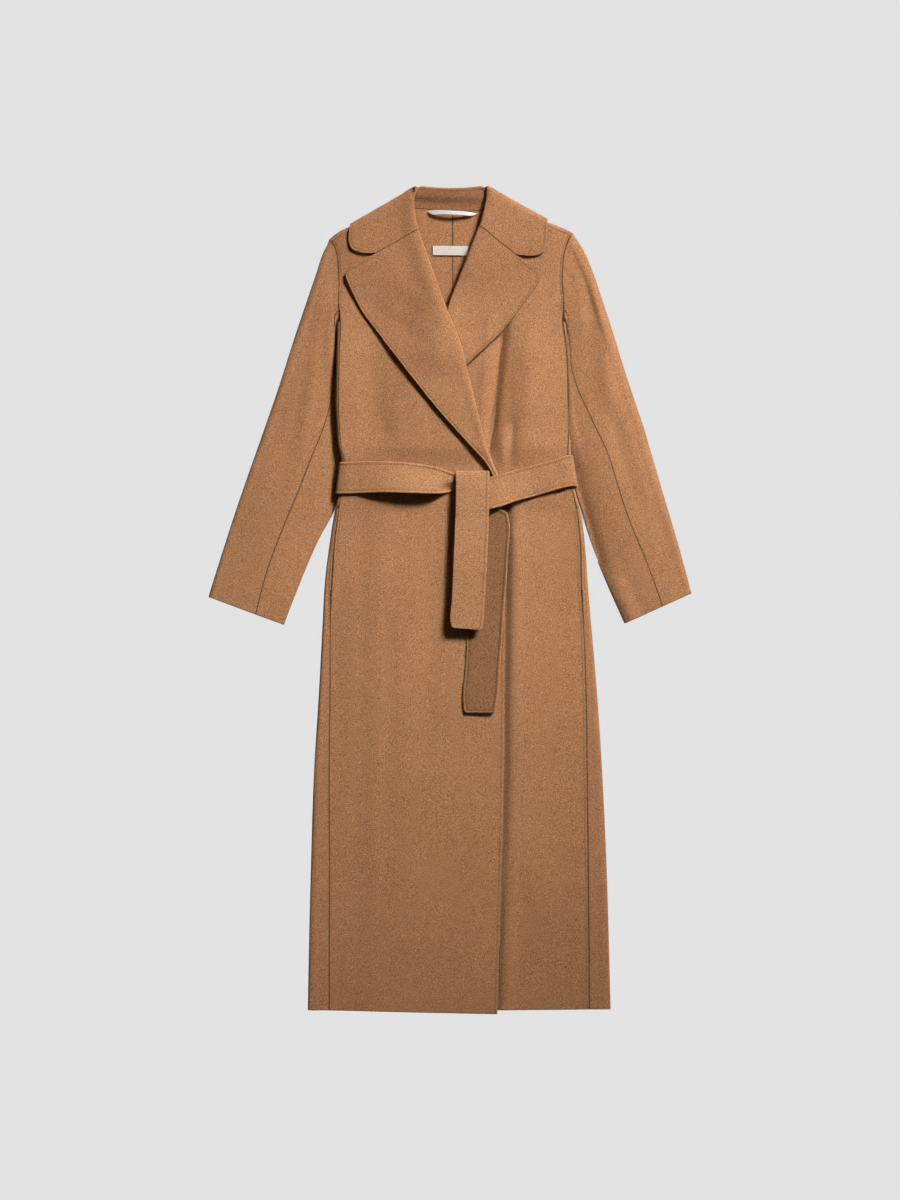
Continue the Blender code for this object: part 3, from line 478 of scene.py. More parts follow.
def back_panel(side):
    """One back panel, from the centre-back seam round the side and over the shoulder."""
    shift = Vector((-SEAM / 2 if side == "right" else SEAM / 2, 0, 0))
    middle = [Vector((CENTRE_BACK, y, 0)) + shift for y in SIDES.column("back_y")]
    sides = side_points(side)
    seams = seam_points(side)
    rows = [[start] + between(start, end, BODY_COLUMNS) for start, end in zip(middle, sides)]
    holes = ARMHOLE.points(side + "_x", side + "_y")
    top = BACK_TOP.points(side + "_x", side + "_y")
    top[0] = top[0] + shift
    neck_line = [middle[-1]] + between(middle[-1], top[0], len(holes))
    rows += coons(rows[-1], top, neck_line, [sides[-1]] + holes)
    sheet = {}
    for row, points in enumerate(rows):
        for column, point in enumerate(points):
            sheet[row, column] = raised(point, back_height(point.x, point.y))
    outward = Vector((-1 if side == "right" else 1, 0, 0))
    for row, seam in enumerate(seams):
        low = sheet[row, BODY_COLUMNS]
        high = low + Vector((0, 0, BODY_RISE))
        wrap = half_turn(low, high, outward) + [high]
        wrap += [raised(point, back_height(point.x, point.y) + BODY_RISE)
                 for point in between(flat(high), seam, 2)]
        for step, point in enumerate(wrap):
            sheet[row, BODY_COLUMNS + 1 + step] = point
    last = len(rows) - 1
    for column in range(NECK_COLUMN, BODY_COLUMNS + 1):
        low = sheet[last, column]
        high = low + Vector((0, 0, BODY_RISE))
        facing = shoulder_heading(side, column)
        end = flat(high) - facing * SHOULDER_WRAP
        end.z = back_height(end.x, end.y) + BODY_RISE
        for step, point in enumerate(half_turn(low, high, facing) + [high, end]):
            sheet[last + 1 + step, column] = point
    return sheet


def roll_turn(roll, bulge, low, high):
    """Both ends of the half turn at a roll, whose outside is at roll."""
    centre = roll - bulge * ((high - low) / 2 + HALF)
    return raised(centre, low), raised(centre, high)


def front_panel(side, table):
    """One front with its lapel turned back, from the side-front seam to the front edge."""
    height = FRONT_HEIGHT[side]
    sign = 1 if side == "right" else -1
    edges = table.points("edge_x", "edge_y")
    lapels = [None if x is None else Vector((x, y, 0))
              for x, y in zip(table.column("lapel_x"), table.column("lapel_y"))]
    break_row = lapels.index(next(point for point in lapels if point))
    bulges = {}
    for row in range(break_row, len(edges)):
        run = edges[min(row + 1, len(edges) - 1)] - edges[max(row - 1, break_row)]
        bulges[row] = Vector((run.y, -run.x, 0)).normalized() * sign

    def row_end(row):
        if row < break_row:
            return edges[row]
        return flat(roll_turn(edges[row], bulges[row], 0, ROLL_RISE)[0])

    seams = [point + Vector((sign * (SEAM + slit), 0, 0))
             for point, slit in zip(seam_points(side), SIDES.column("slit"))]
    rows = [[seam] + between(seam, row_end(row), BODY_COLUMNS) for row, seam in enumerate(seams)]
    holes = ARMHOLE.points(side + "_x", side + "_y")
    shoulder = BACK_TOP.points(side + "_x", side + "_y")
    top = [shoulder[column] - shoulder_heading(side, column) * (SHOULDER_WRAP + SEAM)
           for column in range(len(shoulder) - 1, NECK_COLUMN - 1, -1)]
    top += FRONT_NECK.points(side + "_x", side + "_y")
    top.append(row_end(len(edges) - 1))
    holes[-1] = top[0]
    ends = [row_end(row) for row in range(len(seams) - 1, len(edges))]
    rows += coons(rows[-1], top, [rows[-1][0]] + holes, ends)
    sheet = {}
    for row, points in enumerate(rows):
        for column, point in enumerate(points):
            sheet[row, column] = raised(point, height(point.x, point.y))
    for row, bulge in bulges.items():
        start = sheet[row, BODY_COLUMNS]
        end = start + Vector((0, 0, ROLL_RISE))
        points = half_turn(start, end, bulge) + [end]
        if row == len(edges) - 1:
            across = between(flat(end), NOTCH[side], GORGE_COLUMNS)
            across += between(NOTCH[side], lapels[row], LAPEL_COLUMNS - GORGE_COLUMNS)
        else:
            across = between(flat(end), lapels[row], LAPEL_COLUMNS)
        points += [raised(point, height(point.x, point.y) + ROLL_RISE) for point in across]
        for step, point in enumerate(points):
            sheet[row, BODY_COLUMNS + 1 + step] = point
    return sheet


def collar_row(side, turn, seam, roll, falls, swell):
    """One row of the collar, from the neck seam up the stand, over the roll and down the fall.

    Falls are the corners of the fall's line, each with the steps that lead to it.
    """
    front_share = (1 + math.cos(math.radians(turn))) / 2
    front = FRONT_HEIGHT[side]

    def stand_height(point):
        return back_height(point.x, point.y) + BODY_RISE * front_share

    def fall_height(point):
        top = front(point.x, point.y) + ROLL_RISE
        return HALF + (top - HALF) * front_share

    bulge = heading(swell, side)
    spread = (COLLAR_LIFT + (ROLL_RISE - COLLAR_LIFT) * front_share) / 2
    centre = roll - bulge * (spread + HALF)
    centre.z = (stand_height(centre) + fall_height(centre)) / 2
    lean = Vector((0, 0, -math.cos(math.radians(turn))))
    lean += heading(swell - 90, side) * math.sin(math.radians(turn))
    start = centre + lean * spread
    end = centre - lean * spread
    base = raised(seam, stand_height(seam))
    points = [base] + between(base, start, STAND_COLUMNS) + half_turn(start, end, bulge) + [end]
    line = []
    for corner, steps in falls:
        line += between(flat((line or [end])[-1]), corner, steps)
    settle = end.z - fall_height(end)
    for step, point in enumerate(line):
        points.append(raised(point, fall_height(point) + settle * (1 - (step + 1) / len(line))))
    return points


def collar_half(side, table):
    """Rows of the collar from its end at a lapel to the back of the shoulder."""
    rows = []
    seams = table.points("seam_x", "seam_y")
    rolls = table.points("roll_x", "roll_y")
    falls = table.points("fall_x", "fall_y")
    swells = table.column("swell")
    middle = table.column("turn").index(90)
    for place in range(middle):
        gap = heading(NECK_HEADING, side) * SEAM
        roll = rolls[place]
        corners = [(falls[place], LAPEL_COLUMNS)]
        if place == 0:
            gap = heading(GORGE_HEADING, side) * GORGE_SEAM
            roll = roll + gap
            corners = [(NOTCH[side] + gap, GORGE_COLUMNS), (COLLAR_END[side] + gap, 1),
                       (falls[0] + gap, 1)]
        rows.append(collar_row(side, 0, seams[place] + gap, roll, corners, swells[place]))
    front, back = middle - 1, middle + 1
    for step in range(1, TURN_STEPS + 1):
        turn = 180 * step / TURN_STEPS
        share = (1 - math.cos(math.radians(turn))) / 2
        pull = math.sin(math.radians(turn))

        def place_of(points):
            return points[front].lerp(points[back], share).lerp(points[middle], pull)

        swell = swells[front] + (swells[back] - swells[front]) * turn / 180
        way = heading(NECK_HEADING + NECK_TURN_HEADING * pull, side)
        gap = way * (SEAM + (NECK_TURN_SEAM - SEAM) * pull)
        corners = [(place_of(falls), LAPEL_COLUMNS)]
        rows.append(collar_row(side, turn, place_of(seams) + gap, place_of(rolls), corners, swell))
    return rows


def collar():
    """The collar, stand and fall in one, from lapel to lapel round the back of the neck."""
    right = collar_half("right", COLLAR_RIGHT)
    left = collar_half("left", COLLAR_LEFT)
    across = []
    for seam, roll, fall in zip(COLLAR_ACROSS.points("seam_x", "seam_y"),
                                COLLAR_ACROSS.points("roll_x", "roll_y"),
                                COLLAR_ACROSS.points("fall_x", "fall_y")):
        seat = seam + Vector((0, SEAM, 0))
        across.append(collar_row("right", 180, seat, roll, [(fall, LAPEL_COLUMNS)], 90))
    return grid(right + across + left[::-1])


def fold_line(start, edge, inside):
    """For each point of a fold's outside, the centre of its half turn and the way it faces."""
    line = [start] + edge
    folds = []
    for place in range(1, len(line)):
        run = line[min(place + 1, len(line) - 1)] - line[place - 1]
        facing = Vector((run.y, -run.x, 0)).normalized()
        if facing.dot(line[place] - inside[place - 1]) < 0:
            facing = -facing
        folds.append((line[place] - facing * FOLD_REACH, facing))
    return folds


def share_points(start, end, shares):
    """Points at the given shares of the way from start to end."""
    return [start.lerp(end, share) for share in shares]


def lengths(points):
    """How far along a line of points each one lies, as shares of the whole."""
    run = [0.0]
    for first, second in zip(points, points[1:]):
        run.append(run[-1] + (second - first).length)
    return [value / run[-1] for value in run]


def sleeve_sections(side, table):
    """Flat lines across a sleeve, from the armhole to the cuff.

    Each has the upper and under panels' lines on top and below, the way the outer and inner
    folds face, and how much of the loft it has.
    """
    outward = Vector((-TURNED_SEAM if side == "right" else TURNED_SEAM, 0, 0))
    body_edge = side_points(side)[-1]
    holes = ARMHOLE.points(side + "_x", side + "_y")
    underarm = body_edge.lerp(holes[0], UNDERARM_SHARE)
    armhole = [point + outward for point in holes[::-1] + [underarm]]
    tip_run = (holes[-1] - holes[-2]).normalized()
    armhole[0] = holes[-1] + Vector((-abs(tip_run.y) if side == "right" else tip_run.y,
                                     -abs(tip_run.x), 0)) * TIP_SEAM
    low_run = armhole[-2] - armhole[-1]
    front = armhole[-1] + low_run.normalized() * table.column("seam")[0]
    upper_line = armhole[:-1] + [front]
    back_line = armhole[:BACK_SEAM_AT + 1]
    under_line = armhole[BACK_SEAM_AT:]
    sections = [(upper_line, [front, armhole[-1]], back_line, under_line,
                 (armhole[0] - armhole[1]).normalized(), -low_run.normalized(), 0.0)]
    outers = table.points("outer_x", "outer_y")
    inners = table.points("inner_x", "inner_y")
    outer_folds = fold_line(armhole[0], outers, inners)
    inner_folds = fold_line(armhole[-1], inners, outers)
    for place, seam in enumerate(table.column("seam")):
        start, out = outer_folds[place]
        end, inward = inner_folds[place]
        front = end + (start - end).normalized() * seam
        back = start.lerp(end, BACK_SEAM_SHARE)
        sections.append((share_points(start, front, lengths(upper_line)), [front, end],
                         share_points(start, back, lengths(back_line)),
                         share_points(back, end, lengths(under_line)),
                         out, inward, ease((place + 1) / LOFT_ROWS)))
    return sections


def sleeve(side, table):
    """The upper and the under sleeve, two panels that together go round the arm."""
    upper = []
    under = []
    for (top_upper, top_under, low_upper, low_under, out, inward,
         ramp) in sleeve_sections(side, table):
        gap = inward * SEAM / 2
        whole = (top_under[-1] - top_upper[0]).length

        def below(point):
            return raised(point, sleeve_height(point.x, point.y))

        def above(point):
            share = min((point - top_upper[0]).length / whole, 1.0)
            loft = SLEEVE_LOFT * 4 * share * (1 - share) * ramp
            return below(point) + Vector((0, 0, BODY_RISE + loft))

        low = [below(point) for point in low_upper]
        high = [above(point) for point in top_upper]
        low[-1] -= gap
        high[-1] -= gap
        upper.append(low[::-1] + half_turn(low[0], high[0], out) + high)
        low = [below(point) for point in low_under]
        middle = top_under[0].lerp(top_under[1], 0.5)
        high = [above(point) for point in (top_under[0], middle, top_under[1])]
        low[0] += gap
        high[0] += gap
        under.append(high + half_turn(high[-1], low[-1], inward) + low[::-1])
    return grid(upper), grid(under)


def grid(rows):
    """Rows of points as a sheet."""
    return {(row, column): point for row, points in enumerate(rows)
            for column, point in enumerate(points)}


def belt_fold(start, end, fold, side):
    """The belt's half turn round one side, for its top and bottom edges."""
    outward = Vector((-1 if side == "right" else 1, 0, 0))
    reach = abs(start[0].z - end[0].z) / 2 + HALF
    columns = []
    for edge in range(2):
        centre = fold[edge] - outward * reach
        top = raised(centre, start[edge].z)
        low = raised(centre, end[edge].z)
        columns.append([top] + half_turn(top, low, outward) + [low])
    return [list(pair) for pair in zip(*columns)]


def belt_band():
    """The belt round the waist, from the knot round the right side, the back and the left."""

    def section(x, top_y, bottom_y, height):
        return [Vector((x, top_y, height)), Vector((x, bottom_y, height))]

    rows = [section(*row) for row in BELT_RIGHT.rows[::-1]]
    across = [section(*row, HALF) for row in BELT_BACK_MIDDLE.rows]
    rows = rows[:-1] + belt_fold(rows[-1], across[0], BELT_RIGHT_FOLD.points("x", "y"), "right")
    rows += across
    left = [section(*row) for row in BELT_LEFT.rows]
    rows += belt_fold(left[0], across[0], BELT_LEFT_FOLD.points("x", "y"), "left")[::-1]
    rows += left[1:]
    return grid([[top, top.lerp(bottom, 0.5), bottom] for top, bottom in rows])


def strip(table):
    """Rows across a hanging end of the belt."""
    rows = []
    for y, left_x, right_x, height in table.rows:
        left = Vector((left_x, y, height))
        right = Vector((right_x, y, height))
        rows.append([left, left.lerp(right, 0.5), right])
    return rows


def belt_over_end():
    """The end that comes up behind the knot, turns over it and hangs in front."""
    tuck = strip(OVER_END_TUCK)
    hang = strip(OVER_END)
    top_y, left_x, right_x = OVER_END_TOP.rows[0]
    low = tuck[0][0].z
    high = hang[0][0].z + KNOT_RISE
    centre_y = top_y - HALF - (high - low) / 2
    start = strip(Table("y left_x right_x height", ((centre_y, left_x, right_x, low),)))[0]
    end = strip(Table("y left_x right_x height", ((centre_y, left_x, right_x, high),)))[0]
    turns = [half_turn(first, second, Vector((0, 1, 0))) for first, second in zip(start, end)]
    return grid(tuck + [start] + [list(row) for row in zip(*turns)] + [end] + hang)


def hanger_loop():
    """The tape loop on the neck seam, bowed up between its pointed ends."""
    rows = []
    for x, top_y, bottom_y, bow in HANGER.rows:
        seat = back_height(x, NECK_SEAM_Y) + HALF + TAPE_GAP + TAPE / 2
        rows.append([Vector((x, top_y, seat + bow)), Vector((x, bottom_y, seat + bow))])
    return grid(rows)


def neck_label():
    """The label below the neck seam, blank."""
    rows = []
    for x, top_y, bottom_y in LABEL.rows:
        rows.append([Vector((x, y, back_height(x, y) + HALF + TAPE_GAP + TAPE / 2))
                     for y in (top_y, bottom_y)])
    return grid(rows)


def pocket_patch(table):
    """The pocket cloth behind a side-front seam, between back and front."""
    rows = []
    for y, outer_x, inner_x in table.rows:
        rows.append([Vector((x, y, back_height(x, y) + BODY_RISE / 2)) for x in (outer_x, inner_x)])
    return grid(rows)


# The visual surfaces.

FINE_ROW = 5.0            # spacing of the fine points along the coat
FINE_COLUMN = 4.0         # and across it
NARROW_SPACING = (3.2, 3.2)      # both on the collar and the belt
TAPE_SPACING = (2.0, 2.0)
POCKET_SPACING = (12.0, 12.0)
EDGE_ROWS = (0.3, 0.8, 1.5, 2.4, 3.2, 4.0, 4.8, 5.6, 6.6, 8.0)    # rows kept close to an edge
CLEAR_OF_EDGE_ROWS = 1.2  # how far from these rows the other fine rows are kept
PLACE_DIGITS = 5          # places closer than this many digits are one
LEAST_STEP = 0.22         # least space between two fine rows
LEAST_SPAN = 1e-6         # lengths below these two count as these, so none is divided by 0
LEAST_LENGTH = 1e-9
ROUND = 1.25              # how far in from a free edge the cloth is rounded
SEAM_ROUND = 0.4          # and from a seam
EDGE_LINE = 4.0           # an edge's stitch line, from the edge
BELT_LINE = 4.8           # the same on the belt
SEAM_LINE = 5.0           # a seam's second line, from the seam
ARMHOLE_LINE = 3.6        # the same beside an armhole
PLAIN_EDGE = -1.0         # marks a free edge with no line
FLUSH = -2.0              # marks a seam that doesn't show
FREE_LINES = (EDGE_LINE, BELT_LINE, PLAIN_EDGE)    # what runs along free edges
SEAM_CLOSE = 0.45         # how far each side of a seam reaches out to close it
LINE_DEPTH = 0.32         # how deep a stitch line is drawn in on each face
LINE_WIDTH = 1.0          # and how wide
RIM_SWELL = 0.2           # how much a stitched rim swells between its line and the edge
LINE_REACH = 30.0         # largest distance that is kept with a point
SIDE_RAMP = 70.0          # how far in from a side fold the loft changes
SLEEVE_LEAD = 60.0        # how far before a sleeve's start its own loft sets in
SLEEVE_RAMP = 140.0       # and how long it takes to be whole
JOIN_Y = 420.0            # above this a sleeve starts to take on the body's loft
JOIN_Y_RAMP = 40.0
JOIN_X = 172.0            # and this far from the coat's middle it starts to lose it again
JOIN_X_RAMP = 70.0

# How far the cloth over the back is lofted, from hem to collar, at the right side fold, the
# middle and the left side fold.
LOFT = Table("y right middle left", (
    (-645, 1.2, 2.4, 1.2),
    (-400, 1.6, 4.0, 1.6),
    (-100, 2.2, 5.0, 2.2),
    (60, 2.6, 4.8, 2.4),
    (130, 3.0, 3.4, 1.6),
    (165, 6.5, 2.2, 1.4),
    (200, 9.5, 2.2, 1.8),
    (235, 12.5, 6.0, 2.8),
    (300, 16.5, 8.6, 3.6),
    (380, 15.0, 8.6, 3.8),
    (440, 8.5, 7.0, 3.6),
    (500, 4.4, 5.2, 3.4),
    (560, 2.4, 3.2, 2.4),
    (645, 1.0, 1.0, 1.0),
))

# Soft ridges and troughs on the fronts: a line with its half width, height and faded ends.
FOLDS = Table("x0 y0 x1 y1 width height fade", (
    (-50, 700, -12, 330, 34, 7.0, 60),
    (54, 700, 26, 470, 44, 4.5, 60),
    (62, 470, 44, 225, 7, 1.8, 60),
    (122, 440, 110, 190, 20, 4.4, 80),
    (99, 292, 92, 196, 6, -2.6, 35),
    (84, 280, 80, 200, 6, 2.2, 30),
    (148, 440, 138, 215, 28, 2.2, 70),
    (-118, 420, -110, 230, 14, 0.9, 60),
    (-150, 420, -148, 240, 15, 0.8, 60),
    (-62, 330, -40, 225, 12, 0.9, 40),
    (-22, 140, -36, -280, 20, -1.5, 90),
    (-66, 130, -72, -560, 20, 0.8, 120),
    (-110, 150, -128, -440, 24, 1.0, 90),
    (-92, 60, -104, -580, 12, -0.8, 120),
    (-150, 110, -160, -430, 15, 1.3, 110),
    (40, 100, 44, -600, 22, 1.0, 120),
    (109, 150, 113, -480, 17, 1.5, 90),
    (152, 40, 162, -560, 17, -1.1, 130),
    (172, 120, 182, -560, 17, -1.2, 120),
))
SLEEVE_FOLDS = Table("x0 y0 x1 y1 width height fade", (
    (-204, 540, -250, 380, 11, -1.2, 60),
    (-190, 520, -202, 400, 8, 1.0, 50),
    (-228, 480, -300, 210, 15, 1.4, 70),
    (-212, 400, -272, 120, 12, -1.2, 70),
    (-198, 400, -236, 230, 9, 1.2, 60),
    (-300, 210, -345, 40, 14, -1.0, 60),
    (-255, 90, -290, 0, 12, 0.9, 40),
    (214, 600, 254, 260, 14, 5.0, 80),
    (172, 250, 236, 0, 26, -9.0, 60),
    (-174, 480, -186, 330, 13, 5.0, 50),
    (198, 540, 206, 380, 9, 2.2, 60),
    (238, 500, 262, 360, 12, 1.8, 60),
    (236, 330, 290, 140, 13, -1.4, 70),
    (262, 330, 318, 120, 14, 1.4, 70),
    (306, 170, 345, 40, 13, -1.0, 60),
    (262, 100, 300, -10, 12, 0.9, 40),
))
UNDER_LAPEL_FOLDS = Table("x0 y0 x1 y1 width height fade", (
    (86.7, 470, 57.5, 200, 9, -10.0, 40),
))
BAND_FOLDS = Table("x0 y0 x1 y1 width height fade", (
    (-26, 167, 12, 175, 7, -6.5, 18),
    (-46, 214, 14, 195, 7, 1.2, 22),
))
# How far a sleeve's inner fold is tucked under the body's side, a row for each sleeve row.
TUCKS = Table("right left", (
    (4, 5), (4, 7), (4, 8), (5, 8), (6, 8), (8, 8), (10, 12), (6, 5), (0, 0), (0, 0), (0, 0),
))
# Loft across a sleeve, from its outer fold at 0 to its inner fold at 1.
SLEEVE_ACROSS = Table("share right left", (
    (0.0, 4.6, 2.0),
    (0.2, 4.8, 4.2),
    (0.5, 5.0, 6.0),
    (0.75, 1.4, 5.0),
    (0.88, -1.4, 4.4),
    (0.94, -2.4, 4.0),
    (1.0, -2.6, 3.6),
))


def eased(values):
    """A soft step from 0 to 1, for many values."""
    share = np.clip(values, 0.0, 1.0)
    return share * share * (3 - 2 * share)


def read_many(table, key_name, name, keys):
    """Table.read for many keys."""
    return np.interp(keys, table.column(key_name), table.column(name))


def fold_heights(table, x, y):
    """The sum of a table's ridges and troughs."""
    total = np.zeros_like(x)
    for x0, y0, x1, y1, width, height, fade in table.rows:
        length = math.hypot(x1 - x0, y1 - y0)
        way_x, way_y = (x1 - x0) / length, (y1 - y0) / length
        run = (x - x0) * way_x + (y - y0) * way_y
        aside = (x - x0) * way_y - (y - y0) * way_x
        ends = eased(run / fade) * eased((length - run) / fade)
        total += height * ends * np.exp(-(aside / width) ** 2)
    return total


def body_loft(x, y):
    """How far the fronts, and all that lies on them, stand above the flat stack."""
    right = read_many(LOFT, "y", "right", y)
    middle = read_many(LOFT, "y", "middle", y)
    left = read_many(LOFT, "y", "left", y)
    right_x = np.interp(y, SIDES.column("right_y"), SIDES.column("right_x"))
    left_x = np.interp(y, SIDES.column("left_y"), SIDES.column("left_x"))
    from_right = eased((x - right_x) / SIDE_RAMP)
    from_left = eased((left_x - x) / SIDE_RAMP)
    base = middle + (right - middle) * (1 - from_right) + (left - middle) * (1 - from_left)
    return base + fold_heights(FOLDS, x, y)


def tucked(side):
    """A sleeve's table with its inner fold moved under the body's side."""
    table, sign = (SLEEVE_RIGHT, 1) if side == "right" else (SLEEVE_LEFT, -1)
    rows = [(outer_x, outer_y, inner_x + sign * tuck, inner_y, seam + tuck)
            for (outer_x, outer_y, inner_x, inner_y, seam), tuck
            in zip(table.rows, TUCKS.column(side))]
    return Table(" ".join(table.names), rows)


def sleeve_loft(side, table):
    """The loft of one sleeve, which joins the body's at the armhole."""
    outer = table.points("outer_x", "outer_y")
    inner = table.points("inner_x", "inner_y")
    start = (outer[0] + inner[0]) / 2
    way = (outer[-1] + inner[-1]) / 2 - start
    length = way.length
    way /= length
    right_angle = Vector((way.y, -way.x, 0))
    runs = [[(point - start).dot(way) for point in line] for line in (outer, inner)]
    asides = [[(point - start).dot(right_angle) for point in line] for line in (outer, inner)]

    def loft(x, y):
        run = (x - start.x) * way.x + (y - start.y) * way.y
        aside = (x - start.x) * way.y - (y - start.y) * way.x
        out = np.interp(run, runs[0], asides[0])
        into = np.interp(run, runs[1], asides[1])
        share = np.clip((aside - out) / (into - out), 0, 1)
        own = read_many(SLEEVE_ACROSS, "share", side, share)
        own = own * eased((run + SLEEVE_LEAD) / SLEEVE_RAMP)
        own = own + fold_heights(SLEEVE_FOLDS, x, y)
        joined = eased((y - JOIN_Y) / JOIN_Y_RAMP)
        joined = joined * eased((JOIN_X_RAMP - (np.abs(x) - JOIN_X)) / JOIN_X_RAMP)
        return own + (body_loft(x, y) - own) * joined
    return loft


def lattice(sheet, share, lift):
    """A sheet's points in an array of rows and columns: x, y, z and the share of the loft."""
    rows = 1 + max(row for row, _ in sheet)
    columns = 1 + max(column for _, column in sheet)
    points = np.full((rows, columns, 4), np.nan)
    for key, point in sheet.items():
        points[key] = (point.x, point.y, point.z + lift(key, point), share(point))
    return points


def places_near_edges(there, travel):
    """Places of the rows that are kept close to the cloth's edges."""
    blank = np.zeros(there.shape[1], bool)
    padded = np.vstack((blank, there, blank))
    found = []
    for place in range(len(travel)):
        for other, sign in ((padded[place], 1), (padded[place + 2], -1)):
            if np.any(padded[place + 1] & ~other):
                reach = travel[place] + sign * np.array(EDGE_ROWS)
                reach = reach[(reach > 0) & (reach < travel[-1])]
                found += list(np.interp(reach, travel, np.arange(len(travel))))
    return found


def places(points, axis, spacing, finer=()):
    """Where the fine rows (axis 0) or columns (axis 1) lie, counted in the sheet's own.

    Finer holds stretches with a spacing of their own: first place, last place, spacing.
    """
    steps = np.linalg.norm(np.diff(points[..., :3], axis=axis), axis=2)
    there = ~np.isnan(points[..., 0])
    if axis == 1:
        steps = steps.T
        there = there.T
    travel = np.concatenate(([0.0], np.cumsum(np.nanmean(steps, axis=1))))
    stops = np.arange(len(travel))
    found = []
    for step, span in enumerate(np.nanmax(steps, axis=1)):
        parts = max(2, math.ceil(span / spacing))
        found += [step + part / parts for part in range(parts)]
        for first, last, gap in finer:
            parts = math.ceil(span / gap)
            finer_places = [step + part / parts for part in range(parts)]
            found += [place for place in finer_places if first < place < last]
    found.append(len(travel) - 1)
    close = places_near_edges(there, travel)
    distances = np.interp(close, stops, travel)

    def clear(place):
        away = np.abs(distances - np.interp(place, stops, travel))
        return np.min(away) > CLEAR_OF_EDGE_ROWS

    kept = [place for place in found if place == int(place) or clear(place)]
    merged = np.unique(np.round(np.array(kept + close), PLACE_DIGITS))
    along_it = np.interp(merged, stops, travel)
    keep = [True]
    last = along_it[0]
    for place, distance in zip(merged[1:], along_it[1:]):
        good = distance - last > LEAST_STEP or place == int(place)
        keep.append(good)
        if good:
            last = distance
    return merged[np.array(keep)]


def smooth_line(line, where):
    """Points of a smooth curve through a line of points, at places counted in its points."""
    steps = np.maximum(np.linalg.norm(np.diff(line[:, :3], axis=0), axis=1), LEAST_SPAN)[:, None]
    slopes = np.diff(line, axis=0) / steps
    if len(line) == 2:
        tangents = np.repeat(slopes, 2, axis=0)
    else:
        tangents = np.empty_like(line)
        weighed = slopes[:-1] * steps[1:] + slopes[1:] * steps[:-1]
        tangents[1:-1] = weighed / (steps[:-1] + steps[1:])
        tangents[0] = 1.5 * slopes[0] - 0.5 * tangents[1]
        tangents[-1] = 1.5 * slopes[-1] - 0.5 * tangents[-2]
    first = np.minimum(where.astype(int), len(line) - 2)
    part = (where - first)[:, None]
    rise = part * part * (3 - 2 * part)
    bend = tangents[first] * part * (1 - part) ** 2 - tangents[first + 1] * part ** 2 * (1 - part)
    return line[first] * (1 - rise) + line[first + 1] * rise + steps[first] * bend


def refine(points, row_places, column_places, corners):
    """The fine points: smooth curves along the columns, then along the rows between corners."""
    half = np.full((len(row_places), points.shape[1], 4), np.nan)
    for column in range(points.shape[1]):
        rows = np.flatnonzero(~np.isnan(points[:, column, 0]))
        first, last = rows[0], rows[-1]
        inside = (row_places >= first) & (row_places <= last)
        own = points[first:last + 1, column]
        half[inside, column] = smooth_line(own, row_places[inside] - first)
    fine = np.full((len(row_places), len(column_places), 4), np.nan)
    for row, line in enumerate(half):
        columns = np.flatnonzero(~np.isnan(line[:, 0]))
        stops = [columns[0]] + [c for c in corners if columns[0] < c < columns[-1]] + [columns[-1]]
        for first, last in zip(stops, stops[1:]):
            inside = (column_places >= first) & (column_places <= last)
            fine[row, inside] = smooth_line(line[first:last + 1], column_places[inside] - first)
    return fine


def ways_out(fine):
    """For each point at an edge of the cloth, the way out of the cloth."""
    padded = np.pad(fine[..., :3], ((1, 1), (1, 1), (0, 0)), constant_values=np.nan)
    ways = np.zeros_like(fine[..., :3])
    inside, before, after = slice(1, -1), slice(None, -2), slice(2, None)
    for inner, outer in (((before, inside), (after, inside)), ((after, inside), (before, inside)),
                         ((inside, before), (inside, after)), ((inside, after), (inside, before))):
        step = padded[inside, inside] - padded[inner]
        gone = np.isnan(padded[outer][..., 0]) & ~np.isnan(step[..., 0])
        ways[gone] += step[gone] / np.linalg.norm(step[gone], axis=1)[:, None]
    return ways / np.maximum(np.linalg.norm(ways, axis=2), LEAST_LENGTH)[..., None]


def nearest(points, targets):
    """Distance from each point to the nearest target, up to LINE_REACH."""
    tree = KDTree(len(targets))
    for place, target in enumerate(targets):
        tree.insert(target, place)
    tree.balance()
    return np.array([min(tree.find(point)[2], LINE_REACH) for point in points])


def point_normals(middle, quads):
    """The cloth's normal at each of its points."""
    diagonals = middle[quads[:, 2]] - middle[quads[:, 0]], middle[quads[:, 3]] - middle[quads[:, 1]]
    face_normals = np.cross(*diagonals)
    normals = np.zeros_like(middle)
    for corner in range(4):
        np.add.at(normals, quads[:, corner], face_normals)
    return normals / np.maximum(np.linalg.norm(normals, axis=1), LEAST_LENGTH)[:, None]


def border_points(quads):
    """The numbers of the points along the cloth's edges."""
    sides = np.concatenate([quads[:, [corner, (corner + 1) % 4]] for corner in range(4)])
    _, back, counts = np.unique(np.sort(sides, axis=1), axis=0, return_inverse=True,
                                return_counts=True)
    return np.unique(sides[counts[back.ravel()] == 1])


def edge_distances(middle, border, insets, free):
    """How far each point lies from a stitch line, from a stitched edge and from a seam."""
    line, rim, seam = np.full((3, len(middle)), LINE_REACH)
    for inset in sorted(set(insets[insets > 0])):
        away = nearest(middle, middle[border[insets == inset]])
        line = np.minimum(line, np.abs(away - inset))
        rim = np.minimum(rim, away)
    sewn = border[~free & (insets != FLUSH)]
    if len(sewn):
        seam = nearest(middle, middle[sewn])
    return line, rim, seam


